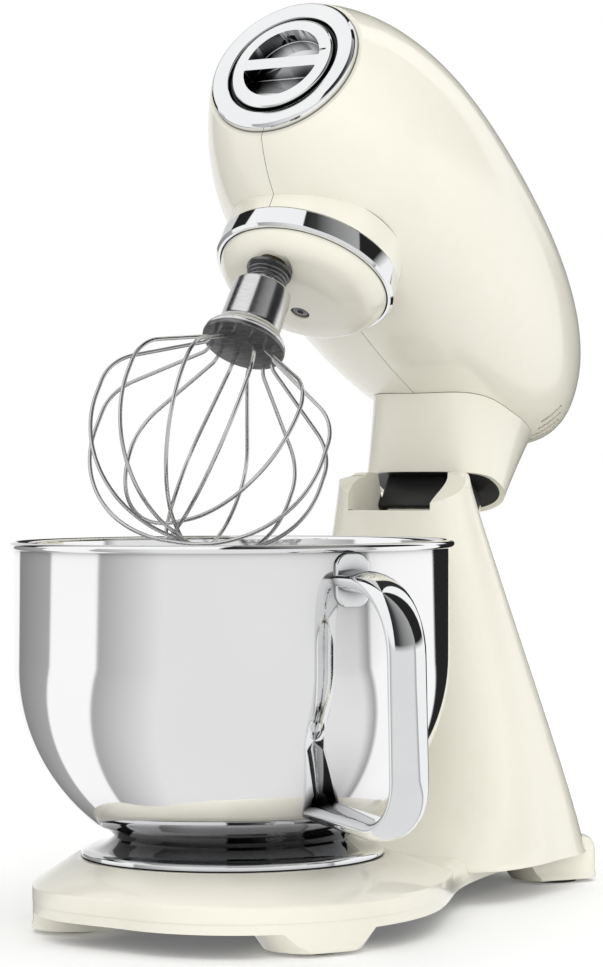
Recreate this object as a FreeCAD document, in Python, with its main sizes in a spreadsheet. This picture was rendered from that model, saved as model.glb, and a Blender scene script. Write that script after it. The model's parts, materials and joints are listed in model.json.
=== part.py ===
# Tilt-head stand mixer, modelled with its head raised.
# Millimetres; +Z up, front towards -Y, the bowl handle on the +X side.
# The origin lies on the worktop, under the axis of the bowl.
import FreeCAD, Part
import Sketcher
import math
import os

V = FreeCAD.Vector
X_AXIS = V(1, 0, 0)
Z_AXIS = V(0, 0, 1)

doc = FreeCAD.newDocument("stand_mixer")

# Driving dimensions: name, value, meaning.
SIZES = [
    # tilt hinge
    ("hinge_back", 185, "hinge axis behind the bowl axis"),
    ("hinge_height", 168, "hinge axis above the worktop"),
    ("tilt_angle", 33.3, "head raised from level, degrees"),
    ("pin_radius", 6, "hinge pin"),
    ("pin_half_length", 37, "hinge pin, centre to end"),
    ("running_fit", 0.05, "radial clearance of a turning shaft"),
    ("seat_gap", 0.2, "clearance round a piece that drops into a recess"),
    ("sweep_gap", 0.6, "clearance between pieces that sweep past each other"),
    # base
    ("base_front", 93, "front edge ahead of the bowl axis"),
    ("base_half_width", 102, "half width beside the bowl"),
    ("base_corner_x", 86, "front corner beside the mid plane"),
    ("base_corner_y", 53, "front corner ahead of the bowl axis"),
    ("base_wide_back", 18, "widest section behind the bowl axis"),
    ("base_taper", 71, "half width where the sides run in"),
    ("base_taper_back", 109, "where the sides run in, behind the bowl axis"),
    ("base_waist", 58, "half width at the waist"),
    ("base_waist_back", 172, "waist behind the bowl axis"),
    ("base_tail_half", 79, "half width at the rear legs"),
    ("tail_flare", 14, "half width still to gain ahead of the rear legs"),
    ("tail_front", 18, "where that begins, ahead of the rear legs"),
    ("tail_wide", 8, "widest tail behind the rear legs"),
    ("base_back", 268, "rear edge behind the bowl axis"),
    ("base_height", 26, "height of the side wall"),
    ("base_round", 8, "rounding of the upper rim"),
    ("base_wall", 6, "casting wall"),
    ("arch_height", 12, "arch between two legs"),
    ("leg_clear", 2, "leg above the worktop"),
    ("leg_radius", 24, "leg at its foot"),
    ("leg_flare", 7, "leg wider at the arch"),
    ("front_leg_x", 70, "front leg beside the mid plane"),
    ("front_leg_y", 38, "front leg ahead of the bowl axis"),
    ("rear_leg_x", 57, "rear leg beside the mid plane"),
    ("rear_leg_y", 246, "rear leg behind the bowl axis"),
    ("foot_radius", 13, "rubber foot"),
    ("foot_height", 9, "rubber foot"),
    ("cover_thick", 2, "bottom cover plate"),
    ("cover_clear", 0.5, "cover above the arches"),
    ("cover_screw_x", 52, "front cover screws beside the mid plane"),
    ("cover_screw_y", 40, "front cover screws behind the bowl axis"),
    ("cover_screw_rear_x", 45, "rear cover screws beside the mid plane"),
    ("cover_screw_rear_y", 104, "rear cover screws behind the bowl axis"),
    ("screw_radius", 1.6, "screw shank"),
    ("screw_head", 3.4, "screw head radius"),
    ("screw_head_high", 1.8, "screw head"),
    # bowl seat
    ("seat_top", 38.7, "standing face of the bowl"),
    ("mound_top_radius", 79, "raised seat, top"),
    ("mound_foot_radius", 86, "raised seat, foot"),
    ("seat_plate_radius", 60, "bayonet plate"),
    ("seat_plate_thick", 3, "bayonet plate"),
    ("seat_skin", 4, "casting under the bayonet plate"),
    ("seat_draft", 4, "taper of the hollow under the seat"),
    ("seat_screw_circle", 22.8, "seat screws from the bowl axis"),
    ("seat_hub_radius", 38, "bayonet hub"),
    ("seat_hub_high", 8, "bayonet hub"),
    ("tab_radius", 48, "bayonet tabs of the plate"),
    ("tab_high", 3, "bayonet tab"),
    ("tab_angle", 40, "bayonet tab, degrees"),
    ("tab_gap", 0.5, "bayonet tabs, up and down"),
    # column
    ("column_front", 158, "front face of the column"),
    ("column_top_back", 196, "rear face at the ears"),
    ("column_foot_back", 265, "rear face at the base"),
    ("column_top_half", 37, "half width at the ears"),
    ("column_foot_half", 82, "half width at the base"),
    ("column_front_flare", 36, "front face runs forward at the base"),
    ("ear_radius", 63, "rounded top of the ears about the hinge"),
    ("ear_round", 9, "outer upper edge of the ears"),
    ("slot_half", 26, "slot between the ears, half width"),
    ("slot_wall", 8, "column wall in front of the slot"),
    ("slot_sill", 42, "front wall of the slot above the hinge"),
    ("slot_floor", 28, "slot floor below the hinge"),
    ("ear_start", 10, "ears begin to round below the sill"),
    ("column_wall", 7, "casting wall of the column"),
    ("liner_thick", 1.5, "slot liner"),
    ("liner_set", 1, "liner below the rim of the ears"),
    ("bush_radius", 9, "hinge bush"),
    ("bush_length", 14, "hinge bush"),
    ("gland_radius", 4.5, "cord inlet"),
    ("gland_height", 19.5, "cord inlet above the worktop"),
    ("gland_flange", 2, "cord inlet flange"),
    ("gland_rim", 2, "cord inlet flange beyond its sleeve"),
    ("gland_wall", 1.5, "cord inlet"),
    ("button_radius", 11, "release button"),
    ("button_height", 105, "release button above the worktop"),
    ("button_travel", 4, "release button"),
    ("button_stem", 4, "release button stem radius"),
    ("button_depth", 9, "release button, front to back"),
    ("stem_length", 14, "release button stem"),
    # bowl
    ("bowl_radius", 109, "outer radius of the straight wall"),
    ("bowl_sheet", 1.2, "bowl sheet"),
    ("bowl_rim_height", 195, "centre of the rolled rim"),
    ("bowl_roll", 2.1, "rolled rim section radius"),
    ("bowl_curve", 105, "radius of the curved lower wall"),
    ("bowl_curve_height", 138, "where the wall begins to curve"),
    ("bowl_turn_in", 52, "angle of the curved wall, degrees"),
    ("bowl_floor", 50.5, "underside of the bowl floor"),
    ("bowl_floor_radius", 56, "flat floor"),
    ("foot_disc_radius", 76.5, "pedestal disc"),
    ("foot_disc_edge", 3, "pedestal disc edge"),
    ("foot_waist", 56, "pedestal waist radius"),
    ("foot_lip", 67, "pedestal upper lip radius"),
    ("foot_sheet", 2, "pedestal sheet"),
    ("foot_open", 8, "pedestal disc inside its edge"),
    ("foot_bevel", 2, "pedestal disc, bevel across"),
    ("foot_bevel_rise", 0.8, "pedestal disc, bevel height"),
    ("foot_flare_curve", 18, "pedestal, hollow of the flare"),
    ("foot_waist_rise", 8, "pedestal waist above the disc"),
    ("foot_lip_curve", 20, "pedestal, hollow under the lip"),
    ("foot_lip_edge", 1.2, "pedestal lip edge"),
    ("foot_lip_bevel", 1, "pedestal lip bevel"),
    ("tab_grip", 5, "bowl tabs reach under the plate tabs"),
    ("tab_root", 6, "bowl tabs run into the pedestal"),
    ("handle_azimuth", 64, "handle from the front towards +X, degrees"),
    ("handle_reach", 156, "grip centre line from the bowl axis"),
    ("handle_top", 180, "upper end of the handle"),
    ("handle_foot", 69, "lower end of the handle"),
    ("handle_width", 21, "grip across"),
    ("handle_thick", 9, "grip through"),
    ("handle_bend", 26, "bend of the centre line"),
    ("handle_drop", 4, "grip's upper bend below the tab"),
    ("handle_splay", 3, "grip's lower bend further out"),
    ("handle_tuck", 8, "grip's lower bend below its end"),
    ("handle_root", 8, "handle ends run into the wall"),
    ("tab_half_high", 13, "upper mounting tab, half height"),
    ("tab_half_wide", 12.5, "upper mounting tab, half width"),
    ("tab_thick", 2.5, "upper mounting tab"),
    # head
    ("head_front", 74, "flat front face ahead of the planetary axis"),
    ("head_back", 250, "tail behind the planetary axis"),
    ("head_half_width", 76, "half width at the widest section"),
    ("head_wide_back", 70, "widest section behind the planetary axis"),
    ("head_top", 392.5, "top of the level head"),
    ("head_top_back", 15, "highest section behind the planetary axis"),
    ("head_bottom", 255, "underside of the level head"),
    ("head_bottom_back", 50, "lowest section behind the planetary axis"),
    ("head_tail_height", 318, "tail tip of the level head"),
    ("head_wall", 3, "shell wall"),
    ("head_seam", 0.3, "joint line between the two shells"),
    ("square_run", 65, "run over which the sections grow square"),
    ("section_power", 2.3, "squareness of the head sections"),
    ("hub_height", 325, "hub axis of the level head"),
    ("hub_face_radius", 44.4, "flat front face"),
    ("bezel_radius", 41.7, "hub bezel"),
    ("bezel_bore", 31, "hub bezel opening"),
    ("bezel_proud", 5, "hub bezel ahead of the front face"),
    ("bezel_deep", 9, "hub bezel sleeve behind the front face"),
    ("bezel_sleeve", 36, "hub bezel sleeve"),
    ("bezel_round", 2, "hub bezel, outer edge"),
    ("bezel_dish", 0.6, "hub bezel falls towards its bore"),
    ("bezel_lead", 1, "hub bezel, inner bevel"),
    ("cap_radius", 29.5, "hub cap"),
    ("cap_proud", 5.5, "hub cap ahead of the front face"),
    ("cap_deep", 9, "hub cap behind the front face"),
    ("cap_round", 1.5, "hub cap edge"),
    ("pocket_radius", 22, "finger pockets of the hub cap"),
    ("pocket_deep", 9, "finger pockets of the hub cap"),
    ("crossbar_high", 7, "crossbar of the hub cap"),
    ("seal_thick", 1.2, "black ring between cap and bezel"),
    ("socket_length", 24, "socket tube behind the hub cap"),
    ("socket_wall", 3, "socket tube"),
    # neck
    ("neck_front", 157, "front of the neck at its lower edge"),
    ("neck_lean", 0.72, "neck front runs forward per height"),
    ("neck_back", 203, "rear of the neck at its lower edge"),
    ("neck_back_lean", 0.4, "neck rear runs back per height"),
    ("neck_half", 41, "half width at the lower edge"),
    ("neck_taper", 0.04, "neck narrows per height"),
    ("neck_edge", 55, "lower front edge above the hinge"),
    ("neck_cover_thick", 2.4, "neck bottom cover"),
    ("neck_cover_inset", 3, "neck bottom cover inside the neck"),
    ("neck_screw_back", 12, "neck screws behind the hinge"),
    ("neck_screw_side", 9, "neck screws beside the tongue"),
    ("neck_screw_long", 10, "neck screws"),
    ("tongue_half", 20, "hinge tongue, half width"),
    ("tongue_radius", 15, "hinge tongue about the pin"),
    ("tongue_depth", 30, "hinge tongue, front to back"),
    ("tongue_root", 20, "tongue runs up into the neck"),
    ("pillar_front", 146, "pillar that carries the gearbox plate"),
    ("pillar_depth", 14, "pillar that carries the gearbox plate"),
    ("pillar_foot", 8, "pillar runs down into the neck"),
    # planetary
    ("ring_radius", 48.7, "trim ring"),
    ("ring_bore", 46, "trim ring"),
    ("ring_low", 243, "trim ring lower edge"),
    ("ring_high", 11.8, "trim ring height"),
    ("skirt_wall", 2.6, "skirt above the trim ring"),
    ("skirt_set", 0.6, "skirt inside the trim ring"),
    ("skirt_room", 3, "skirt below the gearbox plate"),
    ("ring_chamfer", 1.2, "trim ring, lower edge"),
    ("ring_bevel", 0.8, "trim ring, upper edge"),
    ("ring_flange", 2, "trim ring under the skirt"),
    ("dome_low", 228, "underside of the planet cover"),
    ("dome_wall", 2.6, "planet cover"),
    ("dome_round", 12, "planet cover shoulder"),
    ("dome_hub", 11, "hub of the planet cover"),
    ("dome_gap", 0.7, "planet cover inside the trim ring and under the ring gear"),
    ("dome_floor", 4, "planet cover under the carrier shaft"),
    ("bush_boss", 9, "beater boss of the planet cover"),
    ("beater_bush_radius", 7.2, "beater shaft bush"),
    ("carrier_radius", 6, "carrier shaft"),
    ("beater_radius", 5, "beater shaft"),
    ("ring_teeth", 66, "fixed ring gear"),
    ("planet_teeth", 16, "planet pinion"),
    ("planet_module", 1.2, "planetary tooth size"),
    ("ring_gear_radius", 43.6, "fixed ring gear outside"),
    ("ring_gear_drop", 8.6, "ring gear below the top of the trim ring"),
    ("ring_gear_wall", 2.4, "sleeve of the ring gear"),
    ("planet_face", 8, "planetary tooth width"),
    ("plate_low", 272, "gearbox plate underside"),
    ("plate_thick", 5, "gearbox plate"),
    ("plate_half", 36, "gearbox plate half width"),
    ("plate_back", 112, "gearbox plate wide part"),
    ("plate_tail_half", 20, "gearbox plate tail half width"),
    ("plate_screw_bite", 7, "plate screws in the bosses"),
    ("bearing_radius", 12, "carrier bearing"),
    ("bearing_high", 9, "carrier bearing"),
    ("boss_radius", 5, "plate bosses of the shells"),
    ("boss_x", 29, "plate bosses beside the mid plane"),
    ("boss_front", 42, "front plate bosses behind the planetary axis"),
    ("boss_back", 96, "rear plate bosses behind the planetary axis"),
    # drive
    ("small_teeth", 17, "pinions of both reductions"),
    ("large_teeth", 51, "gears of both reductions"),
    ("final_module", 1.25, "tooth size of the final reduction"),
    ("first_module", 1.0, "tooth size of the first reduction"),
    ("final_face", 8, "tooth width of the final reduction"),
    ("first_face", 6, "tooth width of the first reduction"),
    ("gear_gap", 3, "height between gear layers"),
    ("flank_play", 0.12, "tooth thinning at each flank"),
    ("idler_radius", 4, "idler shaft"),
    ("rotor_radius", 4, "motor shaft"),
    ("motor_radius", 34, "motor can"),
    ("motor_high", 52, "motor can"),
    ("motor_wall", 2.5, "motor can"),
    ("motor_plate_thick", 4, "motor plate"),
    ("motor_plate_front", 8, "motor plate ahead of the idler"),
    ("motor_plate_rear", 6, "motor plate behind the motor can"),
    ("rotor_gap", 8, "rotor core inside the can"),
    ("rotor_lift", 6, "rotor core above the motor plate"),
    ("post_radius", 4, "posts under the motor plate"),
    ("post_inset", 6, "posts inside the plate edge"),
    ("post_front", 11, "front posts ahead of the motor axis"),
    ("post_rear", 29, "rear posts behind the motor axis"),
    ("fan_radius", 27, "motor fan"),
    ("fan_high", 8, "motor fan"),
    ("fan_lift", 8, "motor fan above the rotor core"),
    ("fan_disc", 1.5, "motor fan disc"),
    ("fan_hub", 3, "motor fan hub wall"),
    ("fan_blades", 9, "motor fan blades"),
    ("blade_thick", 1.2, "motor fan blade"),
    # whisk
    ("washer_radius", 12, "spring washer"),
    ("washer_thick", 1.5, "spring washer"),
    ("spring_top_radius", 10.9, "spring at the washer"),
    ("spring_low_radius", 8.6, "spring at the whisk"),
    ("spring_wire", 0.6, "spring wire radius"),
    ("spring_turns", 4, "turns of the spring"),
    ("spring_clear", 0.1, "spring from its seats"),
    ("shaft_end", 5, "beater shaft below the cross pin"),
    ("ferrule_top", 215, "top of the whisk ferrule"),
    ("ferrule_radius", 16, "whisk ferrule"),
    ("ferrule_collar", 21.5, "flared collar of the ferrule"),
    ("ferrule_cavity", 13.2, "hollow of the ferrule"),
    ("ferrule_top_wall", 3.5, "ferrule above its hollow"),
    ("ferrule_low", 182, "underside of the ferrule"),
    ("collar_high", 7, "ferrule collar, height of the flare"),
    ("collar_curve", 14, "ferrule collar, hollow of the flare"),
    ("collar_edge", 1.4, "ferrule collar edge"),
    ("ferrule_floor", 2, "ferrule under its hollow"),
    ("whisk_plate_radius", 22, "whisk end plate"),
    ("whisk_plate_thick", 2.5, "whisk end plate"),
    ("pin_reach", 12, "cross pin from the shaft axis"),
    ("cross_pin_radius", 1.5, "cross pin"),
    ("wire_radius", 1.0, "whisk wire"),
    ("wire_circle", 17, "wire ends in the plate"),
    ("wire_drop", 5, "wires run straight out of the plate"),
    ("wire_root_bend", 8, "wire bend below the plate"),
    ("shoulder_bend", 26, "wire bend at the shoulder"),
    ("bottom_flat", 4, "wire straight at the bottom, half length"),
    ("whisk_radius", 61, "widest whisk"),
    ("whisk_shoulder", 142, "height of the whisk shoulder corner"),
    ("whisk_low", 62, "lowest wire"),
    ("wire_step", 2.4, "height between crossing wires"),
    ("wire_loops", 6, "whisk loops"),
    # speed control
    ("speed_front", 15, "speed slot trim ahead of the planetary axis"),
    ("speed_length", 72, "speed slot trim"),
    ("speed_half", 9, "speed slot trim half width"),
    ("speed_deep", 7, "speed slot trim height"),
    ("slot_width", 5, "speed slot"),
    ("lever_travel", 40, "speed lever travel"),
    ("lever_start", 13, "lever behind the front of the trim"),
    ("lever_long", 6, "lever stem along the slot"),
    ("lever_gap", 0.3, "knob and keeper from the trim"),
    ("keeper_thick", 1.5, "lever keeper under the trim"),
    ("slot_end", 4, "speed slot beyond the lever travel"),
    ("speed_proud", 0.7, "speed slot trim above the head"),
    ("knob_radius", 7.5, "speed knob"),
    ("knob_high", 9, "speed knob"),
    # tail
    ("vent_count", 4, "vent slots each side"),
    ("vent_width", 2.6, "vent slot"),
    ("vent_pitch", 7, "vent slots"),
    ("vent_front", 50, "first vent slot ahead of the tail"),
    ("vent_high", 12, "vent slot"),
    ("vent_drop", 30, "vent slots below the tail tip"),
    ("board_thick", 2, "control board"),
    ("board_width", 50, "control board"),
    ("board_high", 40, "control board"),
    ("board_gap", 1, "control board behind the motor can"),
]

sheet = doc.addObject("Spreadsheet::Sheet", "Sizes")
for row, (alias, value, meaning) in enumerate(SIZES, start=1):
    sheet.set("A%d" % row, alias)
    sheet.set("B%d" % row, str(value))
    sheet.set("C%d" % row, meaning)
    sheet.setAlias("B%d" % row, alias)
doc.recompute()


class Size:
    """A number together with the sheet formula that gives it."""

    def __init__(self, value, text):
        self.value = value
        self.text = text

    def join(self, sign, other, value):
        return Size(value, "(%s %s %s)" % (self.text, sign, formula(other)))

    def __add__(self, other):
        return self.join("+", other, self.value + number(other))

    def __sub__(self, other):
        return self.join("-", other, self.value - number(other))

    def __mul__(self, other):
        return self.join("*", other, self.value * number(other))

    def __truediv__(self, other):
        return self.join("/", other, self.value / number(other))


def number(size):
    return size.value if isinstance(size, Size) else float(size)


def formula(size):
    return size.text if isinstance(size, Size) else repr(float(size))


class Sheet:
    """The cells of the sheet, as plain numbers or as sizes to bind."""


S = Sheet()
N = Sheet()
for alias, value, meaning in SIZES:
    setattr(N, alias, float(getattr(sheet, alias)))
    setattr(S, alias, Size(float(getattr(sheet, alias)), "Sizes." + alias))

nodes = {}


def place(at=(0, 0, 0), axis=X_AXIS, angle=0):
    return FreeCAD.Placement(V(*at), FreeCAD.Rotation(axis, angle))


def about_hinge(angle):
    centre = V(0, N.hinge_back, N.hinge_height)
    return FreeCAD.Placement(V(0, 0, 0), FreeCAD.Rotation(X_AXIS, angle), centre)


# The head is drawn level and then swung up about the hinge.
LEVEL = FreeCAD.Placement()
RAISED = about_hinge(-N.tilt_angle)
# The front of the head: a local +Z that points forward along -Y.
HUB = place((0, -N.head_front, N.hub_height), X_AXIS, 90)
# Distance of the beater shaft from the planetary axis.
ORBIT = N.planet_module * (N.ring_teeth - N.planet_teeth) / 2
BEATER = place((0, -ORBIT, 0))


def bind(obj, **sizes):
    for prop, size in sizes.items():
        setattr(obj, prop, number(size))
        if isinstance(size, Size):
            obj.setExpression(prop, size.text)
    return obj


def cylinder(radius, height, at=(0, 0, 0), axis=X_AXIS, angle=0):
    obj = doc.addObject("Part::Cylinder", "cylinder")
    obj.Placement = place(at, axis, angle)
    return bind(obj, Radius=radius, Height=height)


def cone(low, high, height, at=(0, 0, 0)):
    obj = doc.addObject("Part::Cone", "cone")
    obj.Placement = place(at)
    return bind(obj, Radius1=low, Radius2=high, Height=height)


def box(length, width, height, at, centred=True):
    """A box on its lower face, centred on x unless told otherwise."""
    obj = doc.addObject("Part::Box", "box")
    shift = number(length) / 2 if centred else 0
    obj.Placement = place((at[0] - shift, at[1], at[2]))
    return bind(obj, Length=length, Width=width, Height=height)


def shaped(name, shape):
    """A form that no primitive or sketch gives, such as a loft or a gear."""
    obj = doc.addObject("Part::Feature", name)
    obj.Shape = shape
    return obj


def fuse(*objs):
    if len(objs) == 1:
        return objs[0]
    obj = doc.addObject("Part::MultiFuse", "fuse")
    obj.Shapes = list(objs)
    return obj


def cut(base, *tools):
    obj = doc.addObject("Part::Cut", "cut")
    obj.Base = base
    obj.Tool = fuse(*tools)
    return obj


def common(*objs):
    obj = doc.addObject("Part::MultiCommon", "common")
    obj.Shapes = list(objs)
    return obj


def node(label, obj, pose=LEVEL):
    """Names a finished piece and swings it into its place."""
    nodes[label] = (obj, pose)
    obj.Label = label
    return obj


def arc_between(start, end, radius):
    """Arc from start to end; a positive radius keeps its centre to the left."""
    chord = end - start
    half = chord.Length / 2
    side = V(-chord.y, chord.x, 0).normalize() * math.copysign(1, radius)
    centre = (start + end) / 2 + side * math.sqrt(radius * radius - half * half)
    circle = Part.Circle(centre, Z_AXIS, abs(radius))
    first, last = (start, end) if radius > 0 else (end, start)
    return Part.ArcOfCircle(circle, circle.parameter(first), circle.parameter(last))


def pin_vertex(sketch, edge, end, x, y):
    """Fixes one corner of an outline to its sheet sizes."""
    for kind, size, line in (("DistanceX", x, -2), ("DistanceY", y, -1)):
        if number(size) == 0:
            sketch.addConstraint(Sketcher.Constraint("PointOnObject", edge, end, line))
            continue
        index = sketch.addConstraint(
            Sketcher.Constraint(kind, -1, 1, edge, end, number(size)))
        if isinstance(size, Size):
            sketch.setExpression("Constraints[%d]" % index, size.text)


def outline_sketch(body, outline):
    """Closed outline on the XZ plane from (x, z) corners or (x, z, radius of the edge that follows)."""
    sketch = body.newObject("Sketcher::SketchObject", "outline")
    planes = [f for f in body.Origin.OriginFeatures if f.Role == "XZ_Plane"]
    sketch.AttachmentSupport = (planes[0], [""])
    sketch.MapMode = "FlatFace"
    corners = [V(number(c[0]), number(c[1]), 0) for c in outline]
    ends = []
    for i, corner in enumerate(outline):
        start, end = corners[i], corners[(i + 1) % len(corners)]
        if len(corner) == 3:
            sketch.addGeometry(arc_between(start, end, number(corner[2])))
            ends.append((1, 2) if number(corner[2]) > 0 else (2, 1))
        else:
            sketch.addGeometry(Part.LineSegment(start, end))
            ends.append((1, 2))
    for i, corner in enumerate(outline):
        before = i - 1 if i else len(outline) - 1
        sketch.addConstraint(
            Sketcher.Constraint("Coincident", before, ends[before][1], i, ends[i][0]))
        pin_vertex(sketch, i, ends[i][0], corner[0], corner[1])
        if len(corner) == 3:
            index = sketch.addConstraint(
                Sketcher.Constraint("Radius", i, abs(number(corner[2]))))
            if isinstance(corner[2], Size):
                sign = "" if number(corner[2]) > 0 else "-1 * "
                sketch.setExpression("Constraints[%d]" % index, sign + corner[2].text)
    return sketch


def turned(outline):
    """A piece turned about its own Z axis from a (radius, height) outline."""
    body = doc.addObject("PartDesign::Body", "turned")
    sketch = outline_sketch(body, outline)
    turn = body.newObject("PartDesign::Revolution", "revolution")
    turn.Profile = sketch
    turn.ReferenceAxis = (sketch, ["V_Axis"])
    turn.Angle = 360
    return body


def superellipse(half_x, half_y, centre, power, across, up):
    """Closed smooth section, squarer than an ellipse for powers over two."""
    count = 32
    points = []
    for i in range(count):
        angle = 2 * math.pi * i / count
        c, s = math.cos(angle), math.sin(angle)
        x = half_x * math.copysign(abs(c) ** (2 / power), c)
        y = half_y * math.copysign(abs(s) ** (2 / power), s)
        points.append(centre + across * x + up * y)
    curve = Part.BSplineCurve()
    curve.interpolate(points, True)
    return Part.Wire([curve.toShape()])


def involute_outline(module, teeth, play, tip, root, phase):
    """Outline of a spur gear with a tooth towards the phase angle, in degrees."""
    pressure = math.radians(20)
    pitch = module * teeth / 2
    base = pitch * math.cos(pressure)
    half_tooth = math.pi / (2 * teeth) - play / pitch + math.tan(pressure) - pressure

    def flank_angle(radius):
        roll = math.sqrt(max((radius / base) ** 2 - 1, 0))
        return half_tooth - (roll - math.atan(roll))

    def at(radius, angle):
        return V(radius * math.cos(angle), radius * math.sin(angle), 0)

    start = max(base, root)
    steps = 4
    radii = [start + (tip - start) * i / steps for i in range(steps + 1)]
    edges = []
    for tooth in range(teeth):
        mid = math.radians(phase) + 2 * math.pi * tooth / teeth
        rising = [at(r, mid - flank_angle(r)) for r in radii]
        falling = [at(r, mid + flank_angle(r)) for r in reversed(radii)]
        foot = at(root, mid - flank_angle(start))
        if start > root:
            edges.append(Part.LineSegment(foot, rising[0]).toShape())
        for points, bridge in ((rising, True), (falling, False)):
            flank = Part.BSplineCurve()
            flank.interpolate(points)
            edges.append(flank.toShape())
            if bridge:
                edges.append(Part.Arc(rising[-1], at(tip, mid), falling[0]).toShape())
        last = at(root, mid + flank_angle(start))
        if start > root:
            edges.append(Part.LineSegment(falling[-1], last).toShape())
        valley = mid + math.pi / teeth
        following = at(root, mid + 2 * math.pi / teeth - flank_angle(start))
        edges.append(Part.Arc(last, at(root, valley), following).toShape())
    return Part.Wire(Part.__sortEdges__(edges))


ADDENDUM = 0.9
DEDENDUM = 1.2


def gear_shape(module, teeth, width, phase):
    """Spur gear from z = 0 with a tooth towards the phase angle, in degrees."""
    pitch = module * teeth / 2
    outline = involute_outline(
        module, int(teeth), N.flank_play, pitch + ADDENDUM * module, pitch - DEDENDUM * module, phase)
    return Part.Face(outline).extrude(V(0, 0, width))


def coil_shape(low, high, low_radius, high_radius, turns, wire):
    """Helical spring as one tube on biarcs of a quarter turn, wire ends closed flat."""
    steps = int(round(turns * 4))

    def at(t):
        radius = low_radius + (high_radius - low_radius) * t
        angle = 2 * math.pi * turns * t
        return V(radius * math.cos(angle), radius * math.sin(angle), low + (high - low) * t)

    def heading(t):
        step = 1e-4
        return (at(t + step) - at(t - step)).normalize()

    arcs = []
    for i in range(steps):
        first, last = i / steps, (i + 1) / steps
        p, q = at(first), at(last)
        tp, tq = heading(first), heading(last)
        # The two arms of a biarc are equal; the joint lies midway between them.
        v = q - p
        total = tp + tq
        a = 2 * (1 - tp.dot(tq))
        b = 2 * v.dot(total)
        c = -v.dot(v)
        arm = (-b + math.sqrt(b * b - 4 * a * c)) / (2 * a)
        joint = (p + tp * arm + q - tq * arm) / 2
        for start, tangent, end in ((p, tp, joint), (joint, (q - tq * arm - joint).normalize(), q)):
            arcs.append(tangent_arc(start, tangent, end))
    path = Part.Wire(arcs)
    section = Part.Wire([Part.Circle(at(0), heading(0), wire).toShape()])
    tube = Part.BRepOffsetAPI.MakePipeShell(path)
    tube.add(section)
    tube.build()
    tube.makeSolid()
    return tube.shape(), path


def tangent_arc(start, tangent, end):
    """Arc that leaves start along the tangent and reaches end."""
    chord = end - start
    across = chord - tangent * chord.dot(tangent)
    radius = chord.dot(chord) / (2 * across.Length)
    centre = start + across.normalize() * radius
    middle = (start + end) / 2 - centre
    return Part.Arc(start, centre + middle.normalize() * radius, end).toShape()


def rounded_path(corners):
    """Wire of straight runs and arcs from (point, bend radius) corners."""
    points = [p for p, bend in corners]
    edges = []
    here = points[0]
    for i in range(1, len(points) - 1):
        into = (points[i] - points[i - 1]).normalize()
        out = (points[i + 1] - points[i]).normalize()
        bend = corners[i][1]
        turn = into.getAngle(out)
        reach = bend * math.tan(turn / 2)
        first = points[i] - into * reach
        last = points[i] + out * reach
        inward = (out - into).normalize()
        middle = points[i] + inward * (bend / math.cos(turn / 2) - bend)
        if (first - here).Length > 1e-6:
            edges.append(Part.LineSegment(here, first).toShape())
        edges.append(Part.Arc(first, middle, last).toShape())
        here = last
    edges.append(Part.LineSegment(here, points[-1]).toShape())
    return Part.Wire(edges)


def piped(path, section):
    """Solid swept along a wire from a section that stands at its start."""
    tube = Part.BRepOffsetAPI.MakePipeShell(path)
    tube.add(section)
    tube.build()
    tube.makeSolid()
    return tube.shape()


def along_x(radius, length, y, z):
    """Cylinder along X, centred on the mid plane."""
    return cylinder(radius, length, (-number(length) / 2, y, z), V(0, 1, 0), 90)


def spread(first, last, count):
    return [first + (last - first) * i / (count - 1) for i in range(count)]


# Stand


def base_outline(inset, height):
    """Plan of the base: round under the bowl, narrow at the waist, wide at the rear legs."""
    half = [
        (0.56 * N.base_corner_x, 0.93 * inset - 0.925 * N.base_front),
        (N.base_corner_x - 0.75 * inset, 0.65 * inset - N.base_corner_y),
        (N.base_half_width - inset, N.base_wide_back),
        (N.base_taper - inset, N.base_taper_back),
        (N.base_waist - inset, N.base_waist_back),
        (N.base_tail_half - N.tail_flare - inset, N.rear_leg_y - N.tail_front),
        (N.base_tail_half - inset, N.rear_leg_y + N.tail_wide),
        (0.55 * N.base_tail_half, N.base_back - 1 - inset),
    ]
    right = [V(x, y, height) for x, y in half]
    left = [V(-p.x, p.y, p.z) for p in reversed(right)]
    ends = V(0, N.base_back - inset, height), V(0, inset - N.base_front, height)
    curve = Part.BSplineCurve()
    curve.interpolate([ends[1]] + right + [ends[0]] + left, True)
    return Part.Wire([curve.toShape()])


def base_slab(inset, low, high):
    return Part.Face(base_outline(inset, low)).extrude(V(0, 0, high - low))


def base_block():
    """Upright side wall with a quarter-round upper edge, closed by its flat top."""
    shoulder = N.base_height - N.base_round
    sections = [base_outline(0, height) for height in spread(N.leg_clear, shoulder, 5)]
    for degrees in spread(15, 90, 6):
        angle = math.radians(degrees)
        inset = N.base_round * (1 - math.cos(angle))
        sections.append(base_outline(inset, shoulder + N.base_round * math.sin(angle)))
    return Part.makeLoft(sections, True)


EAR_TOP = N.hinge_height + N.ear_radius
COLUMN_POWER = 2.6
FOOT_POWER = 4


def column_back(height):
    share = max(EAR_TOP - height, 0) / (EAR_TOP - N.base_height)
    return N.column_top_back + (N.column_foot_back - N.column_top_back) * share


def column_half(height):
    share = max(EAR_TOP - height, 0) / (EAR_TOP - N.base_height)
    return N.column_top_half + (N.column_foot_half - N.column_top_half) * share


def column_shape(inset, heights):
    """Leaning column that runs out into the base."""
    sections = []
    for height in heights:
        share = max(EAR_TOP - height, 0) / (EAR_TOP - N.base_height)
        flare = N.column_front_flare * math.exp(-max(height - N.base_height, 0) / N.base_height)
        front = N.column_front - flare + inset
        back = column_back(height) - inset
        half = column_half(height) - inset
        middle = V(0, (front + back) / 2, height)
        power = COLUMN_POWER + (FOOT_POWER - COLUMN_POWER) * share
        sections.append(superellipse(half, (back - front) / 2, middle, power, X_AXIS, V(0, 1, 0)))
    return Part.makeLoft(sections, True)


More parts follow.
